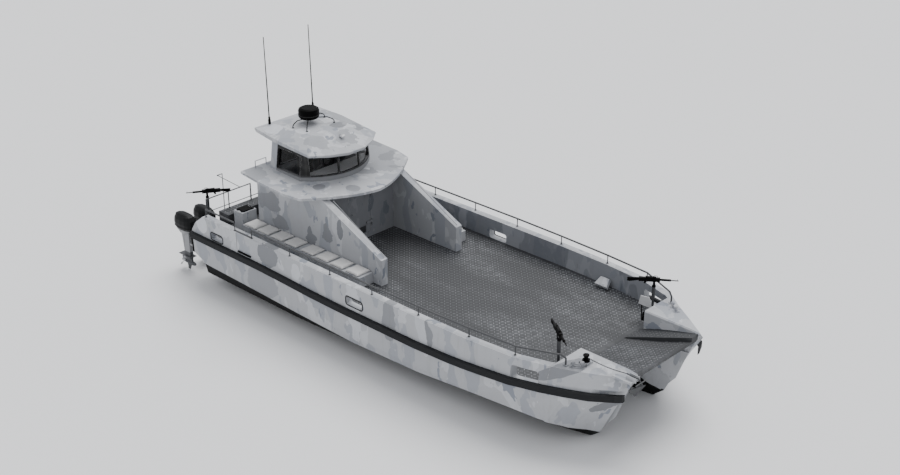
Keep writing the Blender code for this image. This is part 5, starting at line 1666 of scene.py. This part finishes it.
@dataclass(frozen=True)
class Wheelhouse(SubAssembly):
    """The wheelhouse: dark frames, see-through panes, a pale dash, helm seats with cushions, and a lamp.

    Attributes:
        half_width: Half the cabin's width at the panes' foot.
        corner_x: Where the bowed front begins.
        front_x: Where it ends.
        dash_z: Height of the dash's top.
        gaskets: Name and height of each gasket, and how far the panes lean in there.
        seats: Name and y of each helm seat.
    """

    half_width: float = 1.31
    corner_x: float = 3.02
    front_x: float = 3.66
    dash_z: float = 3.668
    gaskets: tuple[tuple[str, float, float], ...] = (("low", 3.652, 0.031), ("high", 4.196, 0.108))
    seats: tuple[tuple[str, float], ...] = (("starboard", -0.40), ("port", 0.40))

    def front_curve(self, inset: float, count: int = 25) -> Array:
        """Plan of the bowed front: x rises from the corner by the power 2.2 of the way across."""
        share = np.linspace(0.0, 1.0, count)
        corner = self.corner_x - inset * 0.4
        x = corner + (self.front_x - inset - corner) * (1.0 - (1.0 - share) ** 2.2)
        y = (self.half_width - inset) * (1.0 - share)
        return np.concatenate([np.stack([x, -y], axis=-1), np.stack([x[::-1], y[::-1]], axis=-1)[1:]])

    def build_dash(self) -> None:
        """A pale shelf under the front panes: rows run from its straight aft edge to the bowed front."""
        front = self.front_curve(0.12)
        aft_edge = np.stack([np.full(len(front), 3.00), front[:, 1]], axis=-1)
        rows = []
        for share, z in ((0.0, -0.05), (0.0, 0.0), (0.35, 0.0), (0.7, 0.0), (1.0, 0.0), (1.0, -0.02)):
            plan = aft_edge + (front - aft_edge) * share - np.array([FRAME_SHIFT_X, 0.0])
            rows.append(at_height(plan, self.dash_z + z))
        faces = grid_faces(len(rows), len(front), close_rows=True, close_columns=False)
        self.add("dash_shelf", Surface(np.concatenate(rows), faces), "dash_grey", "console_plastic")

    def build_gaskets(self) -> None:
        """Black rubber along the foot and head of the bowed panes, set on the wall's face."""
        for name, z, lean in self.gaskets:
            plan = self.front_curve(0.0) * np.array([1.0, 1.0 - lean / self.half_width])
            path = at_height(plan - np.array([lean * 0.3 + FRAME_SHIFT_X + 0.002, 0.0]), z)
            self.add(f"pane_gasket_{name}", swept_tube(path, 0.012, 8), "window_gasket", "strake_rubber")

    def build_helm_seats(self) -> None:
        """Cushions on the two helm seats, of the same soft box as the side pads."""
        for side, y in self.seats:
            parts = (
                ("cushion", (0.19, 0.21, 0.04), (aft(2.42), y, 3.275), 0.0),
                ("back", (0.28, 0.21, 0.035), (aft(2.285), y, 3.58), -90.0),
            )
            for kind, half, place, turn in parts:
                surface = soft_box(half, 0.5, 16).turned(rotation(Axis.Y, turn), place)
                name = f"helm_{kind}_{side}"
                soften(self.add(name, surface, "helm_vinyl", "seat_vinyl", sharp_degrees=60.0))

    def build_lamp(self) -> None:
        """The chrome search lamp over its CAD body: a turned shell, with a lens in front."""
        back = ((0.0, -0.062), (0.035, -0.058), (0.055, -0.03), (0.064, 0.02))
        front = ((0.067, 0.062), (0.060, 0.066), (0.0, 0.060))
        surface = lathe(back + front, 28).turned(rotation(Axis.Y, 90.0), (aft(3.35), -0.03, 4.585))
        self.add("search_lamp", surface, "lamp_chrome", "rail_steel", sharp_degrees=50.0)

    def build(self) -> None:
        """Gives the nodes their finishes and adds the pieces."""
        self.dress("camouflage_wheelhouse", "wheelhouse", "wheelhouse_door")
        self.dress("tinted_glass", "wheelhouse_glass")
        self.dress("camouflage_brow_and_roof", "wheelhouse_roof")
        self.dress("console_plastic", "helm")
        self.build_dash()
        self.build_gaskets()
        self.build_helm_seats()
        self.build_lamp()


@dataclass(frozen=True)
class RoofGear(SubAssembly):
    """Radome and whip antennas, with a seam band, foot pads and springs.

    Attributes:
        radome_x: Place of the radome's middle.
        whip_x: Place of the whips.
        whip_y: Their distance from the middle.
        band_z: Height of the radome's seam.
        foot_z: Height of the radome's feet.
        spring_z: Height of the roof's top under the whips.
        spring_turns: Turns of a whip's spring.
    """

    radome_x: float = 1.98
    whip_x: float = 1.23
    whip_y: float = 0.80
    band_z: float = 4.86
    foot_z: float = 4.6008
    spring_z: float = 4.585
    spring_turns: float = 6.0

    def build(self) -> None:
        """Paints the nodes, and adds the band, the pads, and a helix round the foot of each whip."""
        self.dress("black_metal", "radome", "whip_antenna_{}")
        ring = lathe(((0.290, -0.008), (0.300, -0.006), (0.300, 0.006), (0.290, 0.008)), 40, closed=True)
        placed = ring.moved(aft(self.radome_x), 0.0, self.band_z)
        self.add("radome_band", placed, "window_gasket", "black_metal")
        foot = lathe(((0.0, 0.0), (0.034, 0.0), (0.034, 0.005), (0.018, 0.010), (0.0, 0.010)), 14)
        plan = np.array([[-0.01, -0.58], [0.48, -0.50], [0.48, 0.50], [-0.01, 0.58]])
        plan[:, 0] += aft(self.radome_x)
        self.add("radome_feet", repeated(foot, at_height(plan, self.foot_z), np.zeros(4)), "black_metal")
        turn = np.linspace(0.0, 2.0 * np.pi * self.spring_turns, 84)
        helix = np.stack([0.030 * np.cos(turn), 0.030 * np.sin(turn), 0.13 + turn * 0.0022], axis=-1)
        for side, sign in SIDES:
            path = helix + np.array([aft(self.whip_x), sign * self.whip_y, self.spring_z])
            self.add(f"whip_spring_{side}", swept_tube(path, 0.0045, 6), "black_metal")


@dataclass(frozen=True)
class Outboards(SubAssembly):
    """Four outboards: cowl, grey leg, seam band, air intake, tilt rams and propellers.

    Attributes:
        places: Name and y of each engine.
        steer_x: Place of the steering axis.
        band_z: Height of a cowl's seam.
        louvres: Slats of a cowl's intake.
        ram_y: Distance of the rams from the engine's middle.
    """

    places: tuple[tuple[str, float], ...] = (
        ("starboard_outer", -2.50),
        ("starboard_inner", -1.82),
        ("port_inner", 1.82),
        ("port_outer", 2.50),
    )
    steer_x: float = -0.46
    band_z: float = 1.405
    louvres: int = 4
    ram_y: float = 0.052

    @staticmethod
    def superellipse(half_length: float, half_width: float, sides: int = 40) -> Array:
        """A plan ring: the half sizes times the 0.75 power of the angle's cosine and sine, signs kept."""
        angle = 2.0 * np.pi * np.arange(sides) / sides
        plan = np.stack([np.cos(angle), np.sin(angle)], axis=-1)
        return np.array([half_length, half_width]) * np.sign(plan) * np.abs(plan) ** 0.75

    def build_bands(self) -> None:
        """A grey seam band round each cowl's widest part and a raised air intake on its aft top."""
        ring = self.superellipse(0.396, 0.213)
        ring = np.concatenate([ring, ring[:2]])
        band = swept_tube(at_height(ring, self.band_z), 0.007, 6)
        louvre = round_box((0.012, 0.07, 0.010), 0.005, 2)
        steps = [(-0.50 - 0.045 * index, 0.0, 1.776 - 0.010 * index) for index in range(self.louvres)]
        intake = joined([louvre.moved(*step) for step in steps])
        for name, y in self.places:
            body = f"engine_{name}"
            placed = band.moved(aft(self.steer_x - 0.305), y)
            self.add(f"cowl_band_{name}", placed, "window_gasket", "engine_cowl", body=body)
            self.add(f"cowl_intake_{name}", intake.moved(aft(self.steer_x), y), "black_metal", body=body)

    def build_rams(self) -> None:
        """A tilt ram on each side of the swivel arm, on the swivel's body."""
        x = aft(self.steer_x)
        for name, y in self.places:
            sides = (y - self.ram_y, y + self.ram_y)
            rods = [bar((x + 0.045, side, 0.98), (x + 0.075, side, 1.20), 0.015) for side in sides]
            self.add(f"tilt_rams_{name}", joined(rods), "bright_steel", "rail_steel", body=f"swivel_{name}")

    def build(self) -> None:
        """Gives the nodes their finishes and adds the pieces."""
        for name, _ in self.places:
            self.dress("engine_paint", f"outboard_engine_{name}")
            self.dress("black_metal", f"outboard_swivel_{name}")
            self.dress("bright_steel", f"propeller_{name}")
        self.dress("black_metal", "engine_mount_{}")
        self.build_bands()
        self.build_rams()


@dataclass(frozen=True)
class DeckGuns(SubAssembly):
    """Four pedestal guns, each a plain silhouette, with sights and a carrying handle on the gun's own body.

    Attributes:
        places: Name, x, y, height of the pivot, and degrees that it points from forward.
    """

    places: tuple[tuple[str, float, float, float, float], ...] = (
        ("fore_starboard", 12.55, -1.83, 2.76, -35.0),
        ("fore_port", 12.55, 1.83, 2.76, 35.0),
        ("aft_starboard", -0.06, -2.17, 2.60, -123.0),
        ("aft_port", -0.06, 2.17, 2.60, 123.0),
    )

    def build(self) -> None:
        """Paints the nodes, and adds sights and a handle, made in the gun's own axes and then turned."""
        parts = [
            swept_tube(arch(0.02, 0.068, 0.055, 0.035, 10), 0.006, 8, (0.0, 1.0, 0.0)),
            bar((0.555, 0.0, 0.006), (0.555, 0.0, 0.046), 0.004, 8),
            round_box((0.008, 0.018, 0.012), 0.003, 2).moved(-0.205, 0.0, 0.078),
            bar((0.385, 0.0, 0.0), (0.40, 0.0, 0.0), 0.034, 14),
        ]
        sights = joined(parts)
        for name, x, y, z, turn in self.places:
            self.dress("gun_black", f"deck_gun_{name}")
            self.dress("rail_steel", f"gun_pedestal_{name}")
            placed = sights.turned(rotation(Axis.Z, turn), (aft(x), y, z))
            self.add(f"gun_sights_{name}", placed, "gun_black", "black_metal", body=f"gun_{name}")


@dataclass(frozen=True)
class GroundTackle(SubAssembly):
    """Windlass, anchor, roller and the short chain between them.

    Attributes:
        links: How many links the chain has.
        start: The chain's end at the windlass.
        end: Its end at the roller.
        sag: How far its middle hangs under the straight line.
    """

    links: int = 26
    start: tuple[float, float, float] = (13.26, -1.63, 2.30)
    end: tuple[float, float, float] = (14.30, -1.51, 2.262)
    sag: float = 0.045

    def build(self) -> None:
        """Paints the nodes, and adds the chain: each link is turned a quarter from the last."""
        self.dress("black_metal", "windlass")
        self.dress("rail_steel", "anchor")
        share = (np.arange(self.links) + 0.5) / self.links
        start, run = np.array(self.start), np.subtract(self.end, self.start)
        places = start + run * share[:, None]
        places[:, 0] -= FRAME_SHIFT_X
        places[:, 2] -= self.sag * 4.0 * share * (1.0 - share)
        pitch = float(np.linalg.norm(run)) / self.links
        link = oval_link(pitch * 1.42, pitch * 0.85, 0.0062)
        angles = np.full(self.links, math.atan2(run[1], run[0]))
        even = np.arange(self.links) % 2 == 0
        stood = link.turned(rotation(Axis.X, 90.0))
        flat = repeated(link, places[even], angles[even])
        chain = joined([flat, repeated(stood, places[~even], angles[~even])])
        self.add("anchor_chain", chain, "rail_steel", sharp_degrees=60.0)


SUB_ASSEMBLIES = (
    Studio,
    Hulls,
    TreadDeck,
    SideBenches,
    SoftSeats,
    Rails,
    Deckhouse,
    Wheelhouse,
    RoofGear,
    Outboards,
    DeckGuns,
    GroundTackle,
)


def main() -> None:
    """Builds the finishes and each sub-assembly in order."""
    logging.basicConfig(level=logging.INFO, format="%(message)s")
    effects = SharedEffects()
    materials = {finish.name: finish.build(effects) for finish in FINISHES}
    for kind in SUB_ASSEMBLIES:
        LOG.info("%s", kind.__name__)
        kind(materials).build()


if __name__ == "__main__":
    main()
